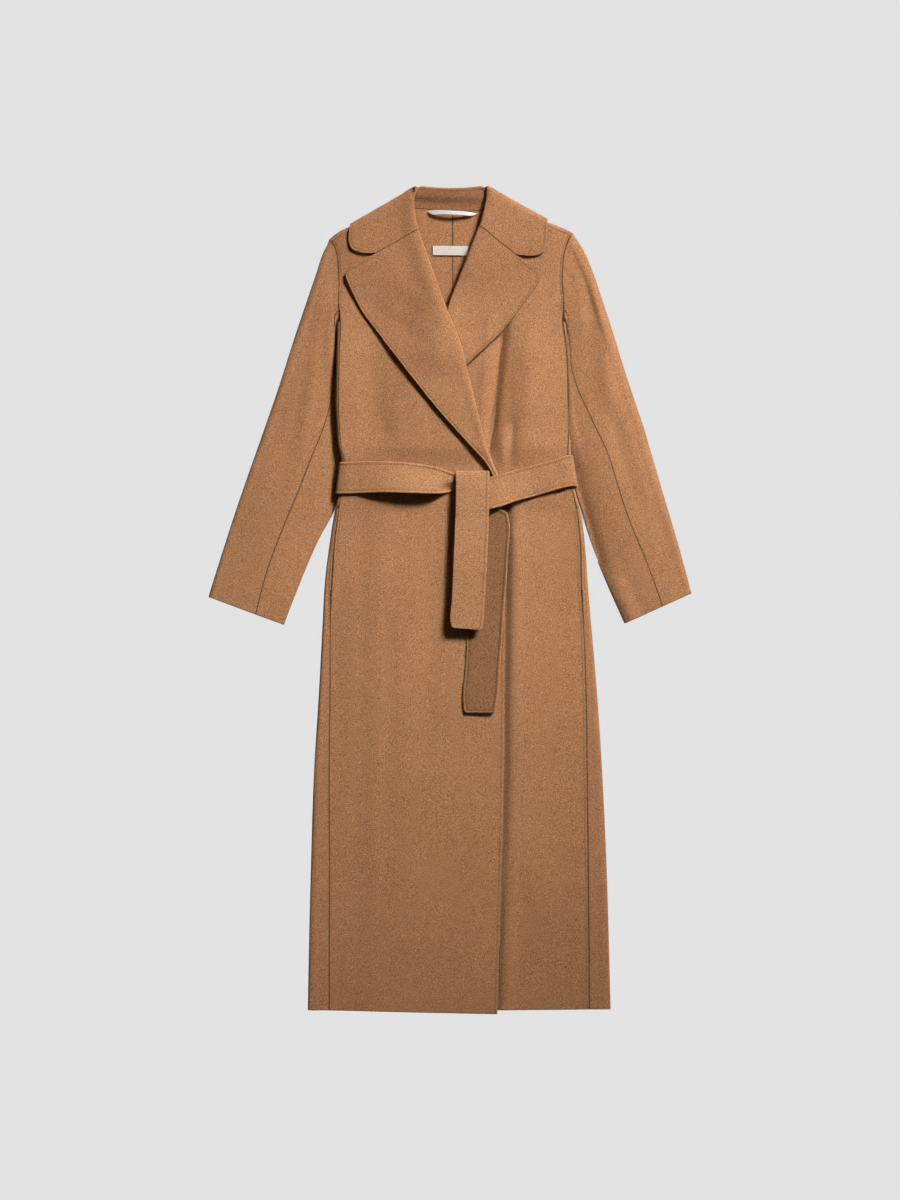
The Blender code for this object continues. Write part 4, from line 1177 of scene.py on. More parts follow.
def wall_reach(middle, half, edges, line, rim, swell):
    """How far the wall reaches to each side of its middle, with rounded edges.

    Edges are two sets of border points, each with how far in it is rounded.
    """
    rounding = np.zeros(len(middle))
    for edge, inward in edges:
        if len(edge):
            rounding = np.maximum(rounding, 1 - nearest(middle, middle[edge]) / inward)
    reach = half * np.sqrt(1 - np.clip(rounding, 0, 1) ** 2)
    for edge, _ in edges:
        reach[edge] = 0.0
    drawn = LINE_DEPTH * np.exp(-(line / LINE_WIDTH) ** 2)
    swollen = swell * np.exp(-((rim - EDGE_LINE / 2) / (EDGE_LINE / 3)) ** 2)
    return reach + (swollen - drawn) * np.clip(reach / half, 0, 1) ** 2


def closed_mesh(name, middle, offsets, quads, border, fields):
    """An object of the wall's two faces, which meet at the border. It carries the fields."""
    inner = np.setdiff1d(np.arange(len(middle)), border)
    lower_number = np.arange(len(middle))
    lower_number[inner] = len(middle) + np.arange(len(inner))
    vertices = np.concatenate((middle + offsets, (middle - offsets)[inner])) * MM
    faces = np.concatenate((quads, lower_number[quads][:, ::-1]))
    data = bpy.data.meshes.new(name)
    data.from_pydata(vertices.tolist(), [], faces.tolist())
    data.polygons.foreach_set("use_smooth", [True] * len(data.polygons))
    for label, values in fields:
        stored = data.attributes.new(label, "FLOAT", "POINT")
        stored.data.foreach_set("value", np.concatenate((values, values[inner])).astype(np.float32))
    data.validate()
    data.update()
    made = bpy.data.objects.new(name, data)
    bpy.context.scene.collection.objects.link(made)
    return made


def shell(name, sheet, loft, lined, thickness=CLOTH, base=back_height, share=None, lift=None,
          corners=(), spacing=(FINE_ROW, FINE_COLUMN), swell=RIM_SWELL, finer=(), groove=None,
          lowest=None):
    """One piece of cloth as a closed thin shell with rounded edges and drawn-in stitch lines.

    Loft(x, y) raises it by share(point), its share of the loft, and so does groove(x, y, z).
    Lined(row, column) says what runs along an edge: the distance of a stitch line, 0 for a
    sewn seam, PLAIN_EDGE or FLUSH.
    """
    if share is None:
        def share(point):
            return min(max((point.z - base(point.x, point.y)) / BODY_RISE, 0.0), 1.0)
    points = lattice(sheet, share, lift or (lambda key, point: 0.0))
    row_places = places(points, 0, spacing[0])
    column_places = places(points, 1, spacing[1], finer)
    fine = refine(points, row_places, column_places, corners)
    there = ~np.isnan(fine[..., 0])
    numbers = np.full(there.shape, -1)
    numbers[there] = np.arange(there.sum())
    quads = np.stack((numbers[:-1, :-1], numbers[1:, :-1], numbers[1:, 1:], numbers[:-1, 1:]),
                     axis=-1)
    quads = quads[(quads >= 0).all(axis=2)]
    flat_points = fine[there]
    middle = flat_points[:, :3].copy()
    middle[:, 2] += loft(middle[:, 0], middle[:, 1]) * flat_points[:, 3]
    if groove:
        middle[:, 2] += groove(*flat_points[:, :3].T) * flat_points[:, 3]
    middle[:, 2] = np.maximum(middle[:, 2], lowest or thickness / 2)
    normals = point_normals(middle, quads)
    border = border_points(quads)
    row_of, column_of = np.nonzero(there)
    insets = np.array([lined(row_places[row_of[point]], column_places[column_of[point]])
                       for point in border])
    free = np.isin(insets, FREE_LINES)
    middle[border[~free]] += ways_out(fine)[there][border[~free]] * SEAM_CLOSE
    line, rim, seam = edge_distances(middle, border, insets, free)
    half = thickness / 2
    edges = (border[free], min(ROUND, half)), (border[~free], SEAM_ROUND)
    reach = wall_reach(middle, half, edges, line, rim, swell)
    return closed_mesh(name, middle, normals * reach[:, None], quads, border,
                       (("line", line), ("rim", rim), ("seam", seam)))


# Materials.

WOOL_DARK = (0.150, 0.062, 0.022, 1.0)
WOOL_LIGHT = (0.660, 0.336, 0.156, 1.0)
BELT_PAINTED_LIGHT = (0.672, 0.352, 0.164, 1.0)    # painted light: the belt's wool is painted lighter, for the stronger light it catches
GRAIN_SCALE = 900.0       # felted grain, about 1 mm across
FIBRE_SCALE = (1900.0, 620.0, 1300.0)    # fibres, longer up and down the coat
MOTTLE_SCALE = 60.0
CLOUD_SCALE = 7.0
GRAIN_WEIGHT = 2.2        # how strongly each of these mixes the dark and the light wool
FIBRE_WEIGHT = 1.9
MOTTLE_WEIGHT = 0.12
CLOUD_WEIGHT = 0.14
NAP_WEIGHT = 0.9          # and how strongly grain and fibres raise the nap
NOISE_ROUGHNESS = 0.6     # how rough the noise of the grain and of a woven piece's wear is
WOOL_NAP = (0.5, 0.0006)  # the bump's strength and its height in metres
LINE_SHADE = 0.74         # how dark a stitch line is beside the cloth
REVERSED_LINE_SHADE = 0.6    # the same on the under end
BOTTOM_SHADE = 0.66       # the under end's nap runs the other way and looks darker
RIM_SHADE = 0.9           # how dark its rim is
RIM_WIDTH = 2.0           # and how wide, in millimetres as the next four are
RIM_RANGE = (RIM_WIDTH - 0.6, RIM_WIDTH + 0.6)    # where the rim's shade fades out
LINE_RANGE = (0.3, 1.4)   # where a stitch line's does, from its middle
EDGE_PAINTED_SHADE_RANGE = (0.1, 1.2)   # where a front's painted edge shade does
SEAM_RANGE = (0.6, 1.7)   # where a seam's does
SPARED_RANGE = (0.8, 2.4)    # and where the painted crease shade starts to show beside a seam
EDGE_PAINTED_SHADE = 0.5          # how dark the painted shade along a front's edge is
SEAM_SHADE = 0.28         # and how dark a sewn seam
CREASE_REACH = 0.005      # how near another surface paints shade on the wool, in metres
CREASE_PAINTED_SHADE = 0.35       # how dark the painted shade in the deepest crease is beside the cloth
CREASE_RANGE = (0.15, 0.75)    # how open a place is from the deepest crease to none
DEEP_REACH = 0.014        # the same for painted shade under an overhang
OVERHANG_PAINTED_SHADE = 0.15
DEEP_RANGE = (0.05, 0.45)
LAMP_SIDE_PAINTED_SHADE = 0.85  # weaker painted shade for both, on the collar and on the side that faces the lamp
WOOL_FINISH = {"Roughness": 0.92, "Specular IOR Level": 0.18, "Sheen Weight": 0.22,
               "Sheen Roughness": 0.42, "Sheen Tint": (1.0, 0.80, 0.62, 1.0)}
WOVEN_SOFTNESS = 0.45     # how light a woven piece is between its threads
THREAD_WEIGHT = 0.5       # how much its threads add
WEAR_WEIGHT = 0.4         # and how much its uneven wear does
WEAR_SCALE = 160.0
THREAD_UNEVENNESS = 0.6
WOVEN_NAP = (0.3, 0.0003)
WOVEN_SPECULAR = 0.3
OPEN_SAMPLES = 6          # samples for how open a place is
WEAVES = Table("name dark light roughness threads", (
    ("white_tape", (0.62, 0.62, 0.60), (0.95, 0.95, 0.93), 0.6, 900.0),
    ("cream_label", (0.52, 0.49, 0.42), (0.84, 0.80, 0.72), 0.7, 800.0),
    ("pocket_lining", (0.20, 0.10, 0.05), (0.40, 0.22, 0.12), 0.8, 700.0),
))


def new_material(name):
    """A material, its node tree and its shader."""
    made = bpy.data.materials.new(name)
    made.use_nodes = True
    return made, made.node_tree, made.node_tree.nodes["Principled BSDF"]


def add(tree, kind, inputs=(), **settings):
    """A new node with its settings and inputs, each a value or another node's output."""
    made = tree.nodes.new(kind)
    for name, value in settings.items():
        setattr(made, name, value)
    for name, value in dict(inputs).items():
        if isinstance(value, bpy.types.NodeSocket):
            tree.links.new(value, made.inputs[name])
        else:
            made.inputs[name].default_value = value
    return made


def calculate(tree, operation, first, second):
    """The output of one sum."""
    return add(tree, "ShaderNodeMath", {0: first, 1: second}, operation=operation).outputs[0]


def product(tree, first, *others):
    """The product of several outputs."""
    for other in others:
        first = calculate(tree, "MULTIPLY", first, other)
    return first


def weighted(tree, total, *parts):
    """A number plus several outputs, each times its weight."""
    for part, weight in parts:
        total = calculate(tree, "ADD", total, calculate(tree, "MULTIPLY", part, weight))
    return total


def remap(tree, value, limits, low, high=1.0):
    """An output that goes from low to high while a value goes between its limits."""
    return add(tree, "ShaderNodeMapRange", {"Value": value, "From Min": limits[0],
                                            "From Max": limits[1], "To Min": low,
                                            "To Max": high}).outputs[0]


def openness(tree, distance, samples=OPEN_SAMPLES):
    """How open a place is to its surroundings, from 0 to 1."""
    return add(tree, "ShaderNodeAmbientOcclusion", {"Distance": distance},
               samples=samples).outputs["AO"]


def noise(tree, vector, scale, detail=2.0, roughness=0.5):
    """Noise about zero."""
    made = add(tree, "ShaderNodeTexNoise", {"Vector": vector, "Scale": scale, "Detail": detail,
                                            "Roughness": roughness})
    return calculate(tree, "SUBTRACT", made.outputs[0], 0.5)


def raise_nap(tree, shader, nap, height):
    """Give a shader a bump, with nap its strength and its height in metres."""
    bump = add(tree, "ShaderNodeBump", {"Strength": nap[0], "Distance": nap[1],
                                        "Height": height})
    tree.links.new(bump.outputs[0], shader.inputs["Normal"])


def wool(name, shade=1.0, rim_shade=1.0, crease_painted_shade=CREASE_PAINTED_SHADE, overhang_painted_shade=OVERHANG_PAINTED_SHADE,
         line_shade=LINE_SHADE, light_wool_and_painted_light=WOOL_LIGHT, edge_painted_shade=1.0):
    """Felted wool: grain, fibres, soft mottling, stitch lines and rims, with painted shade in its
    creases and under overhangs, and where asked painted shade along its edges and painted light in
    its light tone.
    """
    made, tree, shader = new_material(name)
    place = add(tree, "ShaderNodeTexCoord").outputs["Object"]
    stretched = add(tree, "ShaderNodeVectorMath", {0: place, 1: FIBRE_SCALE},
                    operation="MULTIPLY").outputs[0]
    grain = noise(tree, place, GRAIN_SCALE, roughness=NOISE_ROUGHNESS)
    fibre = noise(tree, stretched, 1.0)
    mottle = noise(tree, place, MOTTLE_SCALE)
    cloud = noise(tree, place, CLOUD_SCALE, detail=1.0)
    blend = add(tree, "ShaderNodeMix", data_type="RGBA", clamp_factor=True)
    mix = weighted(tree, 0.5, (grain, GRAIN_WEIGHT), (fibre, FIBRE_WEIGHT),
                   (mottle, MOTTLE_WEIGHT), (cloud, CLOUD_WEIGHT))
    tree.links.new(mix, blend.inputs[0])
    dark, light = [socket for socket in blend.inputs if socket.type == "RGBA"]
    dark.default_value = WOOL_DARK
    # The light tone is the wool's own colour; for the belt it is painted lighter, as painted light.
    light.default_value = light_wool_and_painted_light
    line, rim, seam = [add(tree, "ShaderNodeAttribute", attribute_name=label).outputs["Fac"]
                       for label in ("line", "rim", "seam")]
    # Painted shade: the wool is darkened where other surfaces close it in, in creases and under
    # overhangs, except right beside a seam.
    painted_crease_shade = remap(tree, openness(tree, CREASE_REACH), CREASE_RANGE, crease_painted_shade)
    spared = remap(tree, seam, SPARED_RANGE, 1.0, 0.0)
    # Painted shade also darkens the cloth right along a free edge, where the edge shade asks for
    # it.
    tone = product(tree, remap(tree, line, LINE_RANGE, line_shade),
                   remap(tree, rim, RIM_RANGE, rim_shade, shade),
                   remap(tree, rim, EDGE_PAINTED_SHADE_RANGE, edge_painted_shade),
                   calculate(tree, "MAXIMUM", painted_crease_shade, spared),
                   remap(tree, openness(tree, DEEP_REACH), DEEP_RANGE, overhang_painted_shade),
                   remap(tree, seam, SEAM_RANGE, SEAM_SHADE))
    toned = add(tree, "ShaderNodeVectorMath", operation="SCALE")
    mixed = next(socket for socket in blend.outputs if socket.type == "RGBA")
    tree.links.new(mixed, toned.inputs[0])
    tree.links.new(tone, toned.inputs["Scale"])
    tree.links.new(toned.outputs[0], shader.inputs["Base Color"])
    nap = weighted(tree, 0.0, (grain, NAP_WEIGHT), (fibre, NAP_WEIGHT))
    raise_nap(tree, shader, WOOL_NAP, nap)
    for socket, value in WOOL_FINISH.items():
        shader.inputs[socket].default_value = value
    return made


def woven(name, dark, light, roughness, threads):
    """A fine plain weave, for the tape, the label and the pocket cloth."""
    made, tree, shader = new_material(name)
    place = add(tree, "ShaderNodeTexCoord").outputs["Object"]
    waves = [add(tree, "ShaderNodeTexWave", {"Vector": place, "Scale": threads,
                                             "Distortion": THREAD_UNEVENNESS,
                                             "Detail": 1.0}, bands_direction=way).outputs[0]
             for way in ("X", "Y")]
    weave = product(tree, *waves)
    wear = noise(tree, place, WEAR_SCALE, roughness=NOISE_ROUGHNESS)
    soft = weighted(tree, WOVEN_SOFTNESS, (wear, WEAR_WEIGHT), (weave, THREAD_WEIGHT))
    ramp = add(tree, "ShaderNodeValToRGB", {"Fac": soft})
    for element, colour in zip(ramp.color_ramp.elements, (dark, light)):
        element.color = colour + (1.0,)
    tree.links.new(ramp.outputs["Color"], shader.inputs["Base Color"])
    raise_nap(tree, shader, WOVEN_NAP, weave)
    shader.inputs["Roughness"].default_value = roughness
    shader.inputs["Specular IOR Level"].default_value = WOVEN_SPECULAR
    return made


# What each piece of the coat adds to its solid's form.

ROLL_END = BODY_COLUMNS + FOLD_STEPS             # column of a front where its lapel starts
NOTCH_AT = ROLL_END + GORGE_COLUMNS
LAPEL_END = ROLL_END + LAPEL_COLUMNS
FALL_START = STAND_COLUMNS + FOLD_STEPS          # column of the collar where its fall starts
COLLAR_NOTCH = FALL_START + GORGE_COLUMNS
FALL_END = FALL_START + LAPEL_COLUMNS
ARMHOLE_ROW = len(SIDES.rows) - 1
BAND_HALF_ROW = len(BELT_RIGHT.rows) + FOLD_STEPS    # a row of the belt across the back
SHOULDER_ROW = COLLAR_RIGHT.column("turn").index(90) - 1    # the collar's last row on the front
NECK_STEPS = BODY_COLUMNS - NECK_COLUMN              # columns of a front along the shoulder
POCKET_ROWS = [row for row, slit in enumerate(SIDES.column("slit")) if slit > 0]
BACK_TOP_ROW = ARMHOLE_ROW + len(ARMHOLE.rows)       # the back's top edge
NEAR = 1e-4
PAST_NOTCH = 0.2          # how far past the notch's column its free edge starts
SLIT_LIFT = 1.6           # how far the pocket's lips stand up

# How far the outer edge of each lapel is lifted.
LAPEL_RIGHT_LIFT = Table("y lift", (
    (190, 0.0), (215, 0.5), (260, 1.2), (330, 1.2), (371, 1.8), (400, 0.4), (433, -1.6),
    (455, -1.2), (488, 0.8), (505, 1.8), (525, 2.6),
))
LAPEL_LEFT_LIFT = Table("y lift", (
    (340, 3.6), (390, 4.0), (430, 2.4), (470, 1.2), (510, 1.2), (540, 3.0),
))

# The under front: its dip along the over front's edge and the swelling beside it.
GROOVE = Table("y width depth", (
    (-640, 5.0, 2.8), (-300, 6.5, 3.6), (-120, 7.5, 5.0), (60, 8.0, 5.6), (150, 8.5, 6.0),
))
GROOVE_AT = 0.5           # the dip's middle, from the over front's edge
GROOVE_TOP_Y = 185.0      # where the dip starts, under the belt
GROOVE_RAMP = 30.0
GROOVE_COLUMNS = (2.5, 3.8, 1.5)    # the columns there, and their fine spacing
SWELL_AT = 16.0           # the swelling's middle, from the over front's edge
SWELL_WIDTH = 10.0
SWELL_HEIGHT = 1.8
LAPEL_Z = 10.2            # a front lower than this isn't its turned lapel
LAPEL_Z_STEP = 1.0
FRONT_LOWEST = 4.0        # least height of the under front's middle

# The collar: its stand stands up from column to column, and its outer edge lies down.
STAND_LIFTS = (0, 2.8, 7.6, 10.2, 11.0, 11.6, 12.0, 11.5, 10.5, 6.0, 2.0, 0, 0, 0)
COLLAR_EDGE_LIFT = -0.6
COLLAR_LIFTS = (1.0, 1.0, 0.8, 0.5, 0.2)    # its share in the rows from a lapel to the shoulder

# The belt's lower edge round the waist, and its ends.
BAND_RIGHT_LIFT = Table("x lift", (
    (-152, 0.0), (-128, 1.5), (-112, 6.0), (-96, 11.0), (-78, 14.0), (-45, 14.0), (-25, 11.0),
    (-10, 4.5), (4, -2.0), (16, -2.5),
))
BAND_LEFT_LIFT = Table("x lift", (
    (50, 1.0), (62, 4.6), (80, 5.6), (96, 2.0), (110, -1.8), (140, -1.8), (154, 2.6), (172, 5.2),
    (188, 2.0),
))
BAND_FRONT_Z = 8.0        # only the belt above this height, on the front, is lifted
OVER_END_LIFT = Table("fall lift", ((0, 0.0), (60, 1.6), (110, 2.8), (170, 3.4), (235, 4.0)))
OVER_END_TILT = 0.6       # how much the over end's left edge stands above its right edge
OVER_END_RAMP = 60.0      # how far down it takes to get there
KNOT_Y = 190.0            # the knot's top, from where it falls
TIP_SLANT = 3.0           # how much lower its tip is at its right
UNDER_END_SWELL = 0.7     # how much the under end's rim swells
UNDER_END_TILT = 1.4      # how much its right edge stands above its middle
UNDER_END_TIP_LIFT = 2.2  # how far its tip is lifted
UNDER_END_TIP_Y = -110.0  # where that starts
UNDER_END_TIP_RAMP = 60.0

# The hanger loop and the label.
LOOP_NARROWING = 2.2      # how much narrower the bowed hanger loop looks
LOOP_BOW = 4.5            # how far it stands off the neck
LOOP_HALF = 42.0          # half its length
LABEL_LIFT = 0.7          # how far the label stands off


def turned_share(step):
    """How much of its outer edge's lift a turned column has, counted from the roll."""
    return ease(step / LAPEL_COLUMNS)


def pocket_lip(row):
    """How much of the pocket's lip a row has."""
    return SLIT_LIFT if row in POCKET_ROWS else 0.0


def front_lift(side):
    """The lift of a front's lapel and of its pocket's lip."""
    def lift(key, point):
        row, column = key
        if column > ROLL_END:
            lifts = LAPEL_RIGHT_LIFT if side == "right" else LAPEL_LEFT_LIFT
            return lifts.read("y", "lift", point.y) * turned_share(column - ROLL_END)
        return pocket_lip(row) if column == 0 else 0.0
    return lift


def front_lined(side, break_row, last_row):
    """What runs along each edge of a front."""
    def lined(row, column):
        if column > LAPEL_END - NEAR:
            return EDGE_LINE
        if row > last_row - NEAR and column > NOTCH_AT + PAST_NOTCH:
            return EDGE_LINE
        if row < break_row and column > BODY_COLUMNS - NEAR:
            return EDGE_LINE
        if row < NEAR:
            return PLAIN_EDGE
        if row > last_row - NEAR and column < NECK_STEPS + NEAR:
            return FLUSH
        if column < NEAR:
            if row > ARMHOLE_ROW + 0.5:
                return ARMHOLE_LINE
            if POCKET_ROWS[0] <= row <= POCKET_ROWS[-1]:
                return EDGE_LINE
            if side == "left" and row < POCKET_ROWS[0]:
                return SEAM_LINE
        return 0.0
    return lined


def edge_groove(x, y, z):
    """The under front dips along the over front's edge and swells beside it.

    What lies under its own lapel has the chest's folds too.
    """
    edge = np.interp(y, FRONT_RIGHT.column("edge_y"), FRONT_RIGHT.column("edge_x"))
    below = eased((GROOVE_TOP_Y - y) / GROOVE_RAMP)
    single = eased((LAPEL_Z - z) / LAPEL_Z_STEP)
    width = read_many(GROOVE, "y", "width", y)
    dip = read_many(GROOVE, "y", "depth", y) * np.exp(-((x - edge - GROOVE_AT) / width) ** 2)
    swell = SWELL_HEIGHT * np.exp(-((x - edge - SWELL_AT) / SWELL_WIDTH) ** 2)
    return (swell - dip) * below + fold_heights(UNDER_LAPEL_FOLDS, x, y) * single


def slanted(sheet):
    """The over end with its tip cut a little askew."""
    last = max(row for row, _ in sheet)
    return {key: point - Vector((0, TIP_SLANT * key[1] / 2 if key[0] >= last - 1 else 0, 0))
            for key, point in sheet.items()}


def narrowed(sheet):
    """The hanger loop, pulled narrower by its bow."""
    return {key: point + Vector((0, LOOP_NARROWING * key[1], 0)) for key, point in sheet.items()}


def bowed(key, point):
    """The hanger loop stands off the neck between its ends."""
    return LOOP_BOW * (1 - (point.x / LOOP_HALF) ** 2)


def raised_label(key, point):
    """The label stands off the back by the same everywhere."""
    return LABEL_LIFT


def back_lift(key, point):
    """The lift of the pocket's other lip, where the back ends on the front."""
    row, column = key
    return pocket_lip(row) if column == BODY_COLUMNS + FOLD_STEPS + 2 else 0.0


def back_lined(row, column):
    """What runs along each edge of a back panel."""
    if row < NEAR:
        return PLAIN_EDGE
    if row > BACK_TOP_ROW + NEAR and column < BODY_COLUMNS + NEAR:
        return FLUSH
    if POCKET_ROWS[0] <= row <= POCKET_ROWS[-1] and column > BODY_COLUMNS + FOLD_STEPS:
        return EDGE_LINE
    return 0.0


def collar_lift(row_count):
    """The lift of the collar's stand and of its outer edge."""
    def lift(key, point):
        row, column = key
        nearest_end = min(row, row_count - 1 - row)
        round_share = ease((nearest_end - SHOULDER_ROW) / TURN_STEPS)
        stand = STAND_LIFTS[column] * round_share
        if column <= FALL_START or nearest_end >= len(COLLAR_LIFTS):
            return stand
        edge_lift = COLLAR_EDGE_LIFT * COLLAR_LIFTS[nearest_end]
        return stand + edge_lift * turned_share(column - FALL_START)
    return lift


def collar_lined(row_count):
    """What runs along each edge of the collar."""
    def lined(row, column):
        if column > FALL_END - NEAR:
            return EDGE_LINE
        if (row < NEAR or row > row_count - 1 - NEAR) and column > COLLAR_NOTCH + PAST_NOTCH:
            return EDGE_LINE
        return 0.0
    return lined


def band_lift(key, point):
    """The lift of the belt round the waist, most at its lower edge."""
    if point.z < BAND_FRONT_Z:
        return 0.0
    table = BAND_LEFT_LIFT if key[0] > BAND_HALF_ROW else BAND_RIGHT_LIFT
    return table.read("x", "lift", point.x) * key[1] / 2


def band_creases(x, y, z):
    """The creases that run in to the knot."""
    return fold_heights(BAND_FOLDS, x, y)


def under_end_lift(key, point):
    """The lift of the under end's edges and tip."""
    tip_share = ease((UNDER_END_TIP_Y - point.y) / UNDER_END_TIP_RAMP)
    return UNDER_END_TILT * (key[1] - 1) + UNDER_END_TIP_LIFT * tip_share


def over_end_lift(key, point):
    """The lift of the over end as it falls from the knot."""
    if key[0] < FOLD_STEPS:
        return 0.0
    fall = KNOT_Y - point.y
    tilt = OVER_END_TILT * (1 - key[1] / 2) * ease(fall / OVER_END_RAMP)
    return OVER_END_LIFT.read("fall", "lift", fall) + tilt


def plain(row, column):
    """Free edges with no line."""
    return PLAIN_EDGE


def sleeve_lined(last_row):
    """What runs along each edge of a sleeve panel, whose last row is the cuff."""
    def lined(row, column):
        return PLAIN_EDGE if row > last_row - NEAR else 0.0
    return lined


def belt_lined(row, column):
    """A stitch line along every edge."""
    return BELT_LINE


def over_end_lined(row, column):
    """The over end shows its stitch line along its right edge alone."""
    return BELT_LINE if column > 2 - NEAR else PLAIN_EDGE


def full(point):
    """The share of the loft for what lies on the fronts."""
    return 1.0


def none(point):
    """And for what lies under them."""
    return 0.0


def flat_loft(x, y):
    """No loft."""
    return np.zeros_like(x)


def finishes():
    """Each node's material and the name of its slot."""
    # Each wool carries painted shade in its creases and under overhangs.
    camel = wool("camel_wool")
    # A lit copy of the wool: weaker painted shade, for the side that faces the lamp and for the
    # collar.
    lamp_side_wool = wool("camel_wool_lamp_side_painted_shade", crease_painted_shade=LAMP_SIDE_PAINTED_SHADE,
                     overhang_painted_shade=LAMP_SIDE_PAINTED_SHADE)
    reversed_wool = wool("camel_wool_reversed", BOTTOM_SHADE, RIM_SHADE,
                         line_shade=REVERSED_LINE_SHADE)
    # Painted light: the belt's wool is painted lighter.
    lit_belt_wool = wool("camel_wool_belt_painted_light", light_wool_and_painted_light=BELT_PAINTED_LIGHT)
    # Painted shade along the fronts' free edges.
    edge_shaded_wool = wool("camel_wool_painted_edge_shade", edge_painted_shade=EDGE_PAINTED_SHADE)
    tape, label, lining = [woven(*row) for row in WEAVES.rows]
    groups = (
        (camel, "camel", ("back_right", "upper_sleeve_right", "under_sleeve_right")),
        (lamp_side_wool, "camel", ("back_left", "upper_sleeve_left", "under_sleeve_left", "collar")),
        (edge_shaded_wool, "camel", ("front_right", "front_left")),
        (lit_belt_wool, "camel", ("belt_band", "belt_over_end")),
        (reversed_wool, "camel", ("belt_under_end",)),
        (tape, "white", ("hanger_loop",)),
        (label, "cream", ("neck_label",)),
        (lining, "lining", ("pocket_patch_right", "pocket_patch_left")),
    )
    return {node: (material, slot) for material, slot, nodes in groups for node in nodes}


def body_panels():
    """The back panels and the fronts."""
    made = {}
    for side in ("right", "left"):
        made["back_" + side] = shell("cloth_back_" + side, back_panel(side), body_loft, back_lined,
                                     lift=back_lift)
    detail = {"right": {}, "left": {"finer": (GROOVE_COLUMNS,), "groove": edge_groove,
                                    "lowest": FRONT_LOWEST}}
    for side, table in (("right", FRONT_RIGHT), ("left", FRONT_LEFT)):
        sheet = front_panel(side, table)
        last_row = max(row for row, _ in sheet)
        break_row = min(row for row, column in sheet if column > BODY_COLUMNS)
        made["front_" + side] = shell("cloth_front_" + side, sheet, body_loft,
                                      front_lined(side, break_row, last_row),
                                      lift=front_lift(side), **detail[side])
    return made


def collar_and_sleeves():
    """The collar and the four sleeve panels."""
    sheet = collar()
    row_count = 1 + max(row for row, _ in sheet)
    made = {"collar": shell("cloth_collar", sheet, body_loft, collar_lined(row_count),
                            lift=collar_lift(row_count), corners=(COLLAR_NOTCH,),
                            spacing=NARROW_SPACING)}
    for side in ("right", "left"):
        table = tucked(side)
        loft = sleeve_loft(side, table)
        for name, sheet in zip(("upper_sleeve_", "under_sleeve_"), sleeve(side, table)):
            lined = sleeve_lined(max(row for row, _ in sheet))
            made[name + side] = shell("cloth_" + name + side, sheet, loft, lined,
                                      base=sleeve_height)
    return made


def belt():
    """The belt's three stretches."""
    return {
        "belt_band": shell("cloth_belt_band", belt_band(), body_loft, belt_lined,
                           lift=band_lift, spacing=NARROW_SPACING, groove=band_creases),
        "belt_over_end": shell("cloth_belt_over_end", slanted(belt_over_end()), body_loft,
                               over_end_lined, share=full, lift=over_end_lift,
                               spacing=NARROW_SPACING),
        "belt_under_end": shell("cloth_belt_under_end", grid(strip(UNDER_END)), body_loft,
                                belt_lined, share=full, lift=under_end_lift,
                                spacing=NARROW_SPACING, swell=UNDER_END_SWELL),
    }


def trimmings():
    """The hanger loop, the label and the pocket cloth, which take no loft."""
    made = {
        "hanger_loop": shell("tape_hanger_loop", narrowed(hanger_loop()), flat_loft, plain, TAPE,
                             share=none, lift=bowed, spacing=TAPE_SPACING),
        "neck_label": shell("cloth_neck_label", neck_label(), flat_loft, plain, TAPE,
                            share=none, lift=raised_label, spacing=TAPE_SPACING),
    }
    for side, table in (("right", POCKET_RIGHT), ("left", POCKET_LEFT)):
        made["pocket_patch_" + side] = shell("cloth_pocket_patch_" + side, pocket_patch(table),
                                             flat_loft, plain, POCKET_CLOTH, share=none,
                                             spacing=POCKET_SPACING)
    return made


def build_coat():
    """Every piece of the coat, with its finish, on its node's place."""
    looks = finishes()
    made = {**body_panels(), **collar_and_sleeves(), **belt(), **trimmings()}
    for node, piece in made.items():
        material, slot = looks[node]
        piece.data.materials.append(material)
        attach(piece, "root")
        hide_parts(node)
    return made


# What each piece of cloth was cut to, in metres and square metres, and what it lies on. The
# flat sizes of the fronts, the collar and the sleeves take in what is turned under.
CUTS = Table("node across along area held rests_on", (
    ("back_right", 0.257, 1.252, 0.262, "folded", ()),
    ("back_left", 0.277, 1.251, 0.274, "folded", ()),
    ("front_right", 0.298, 1.246, 0.327, "folded", ("cloth_back_right", "cloth_front_left")),
    ("front_left", 0.290, 1.239, 0.331, "folded", ("cloth_back_left",)),
    ("collar", 0.178, 0.439, 0.0397, "folded", ("cloth_front_right", "cloth_front_left")),
    ("upper_sleeve_right", 0.174, 0.584, 0.0576, "folded", ("cloth_under_sleeve_right",)),
    ("under_sleeve_right", 0.151, 0.556, 0.0521, "folded", ()),
    ("upper_sleeve_left", 0.182, 0.587, 0.0544, "folded", ("cloth_under_sleeve_left",)),
    ("under_sleeve_left", 0.162, 0.561, 0.0562, "folded", ()),
    ("belt_band", 0.050, 0.799, 0.0361, "folded", ("cloth_front_right", "cloth_front_left")),
    ("belt_over_end", 0.052, 0.277, 0.0142, "laid", ("cloth_belt_band", "cloth_belt_under_end")),
    ("belt_under_end", 0.064, 0.343, 0.0189, "laid", ("cloth_front_right",)),
    ("hanger_loop", 0.010, 0.084, 0.0006, "laid", ("cloth_back_right", "cloth_back_left")),
    ("neck_label", 0.015, 0.056, 0.0008, "laid", ("cloth_back_right", "cloth_back_left")),
    ("pocket_patch_right", 0.104, 0.252, 0.0256, "laid", ("cloth_back_right",)),
    ("pocket_patch_left", 0.104, 0.252, 0.0250, "laid", ("cloth_back_left",)),
))


def declare_sheets():
    """Run through what each piece of cloth was cut to; nothing is done with it."""
    for node, across, along, area, held, rests_on in CUTS.rows:
        list(rests_on)


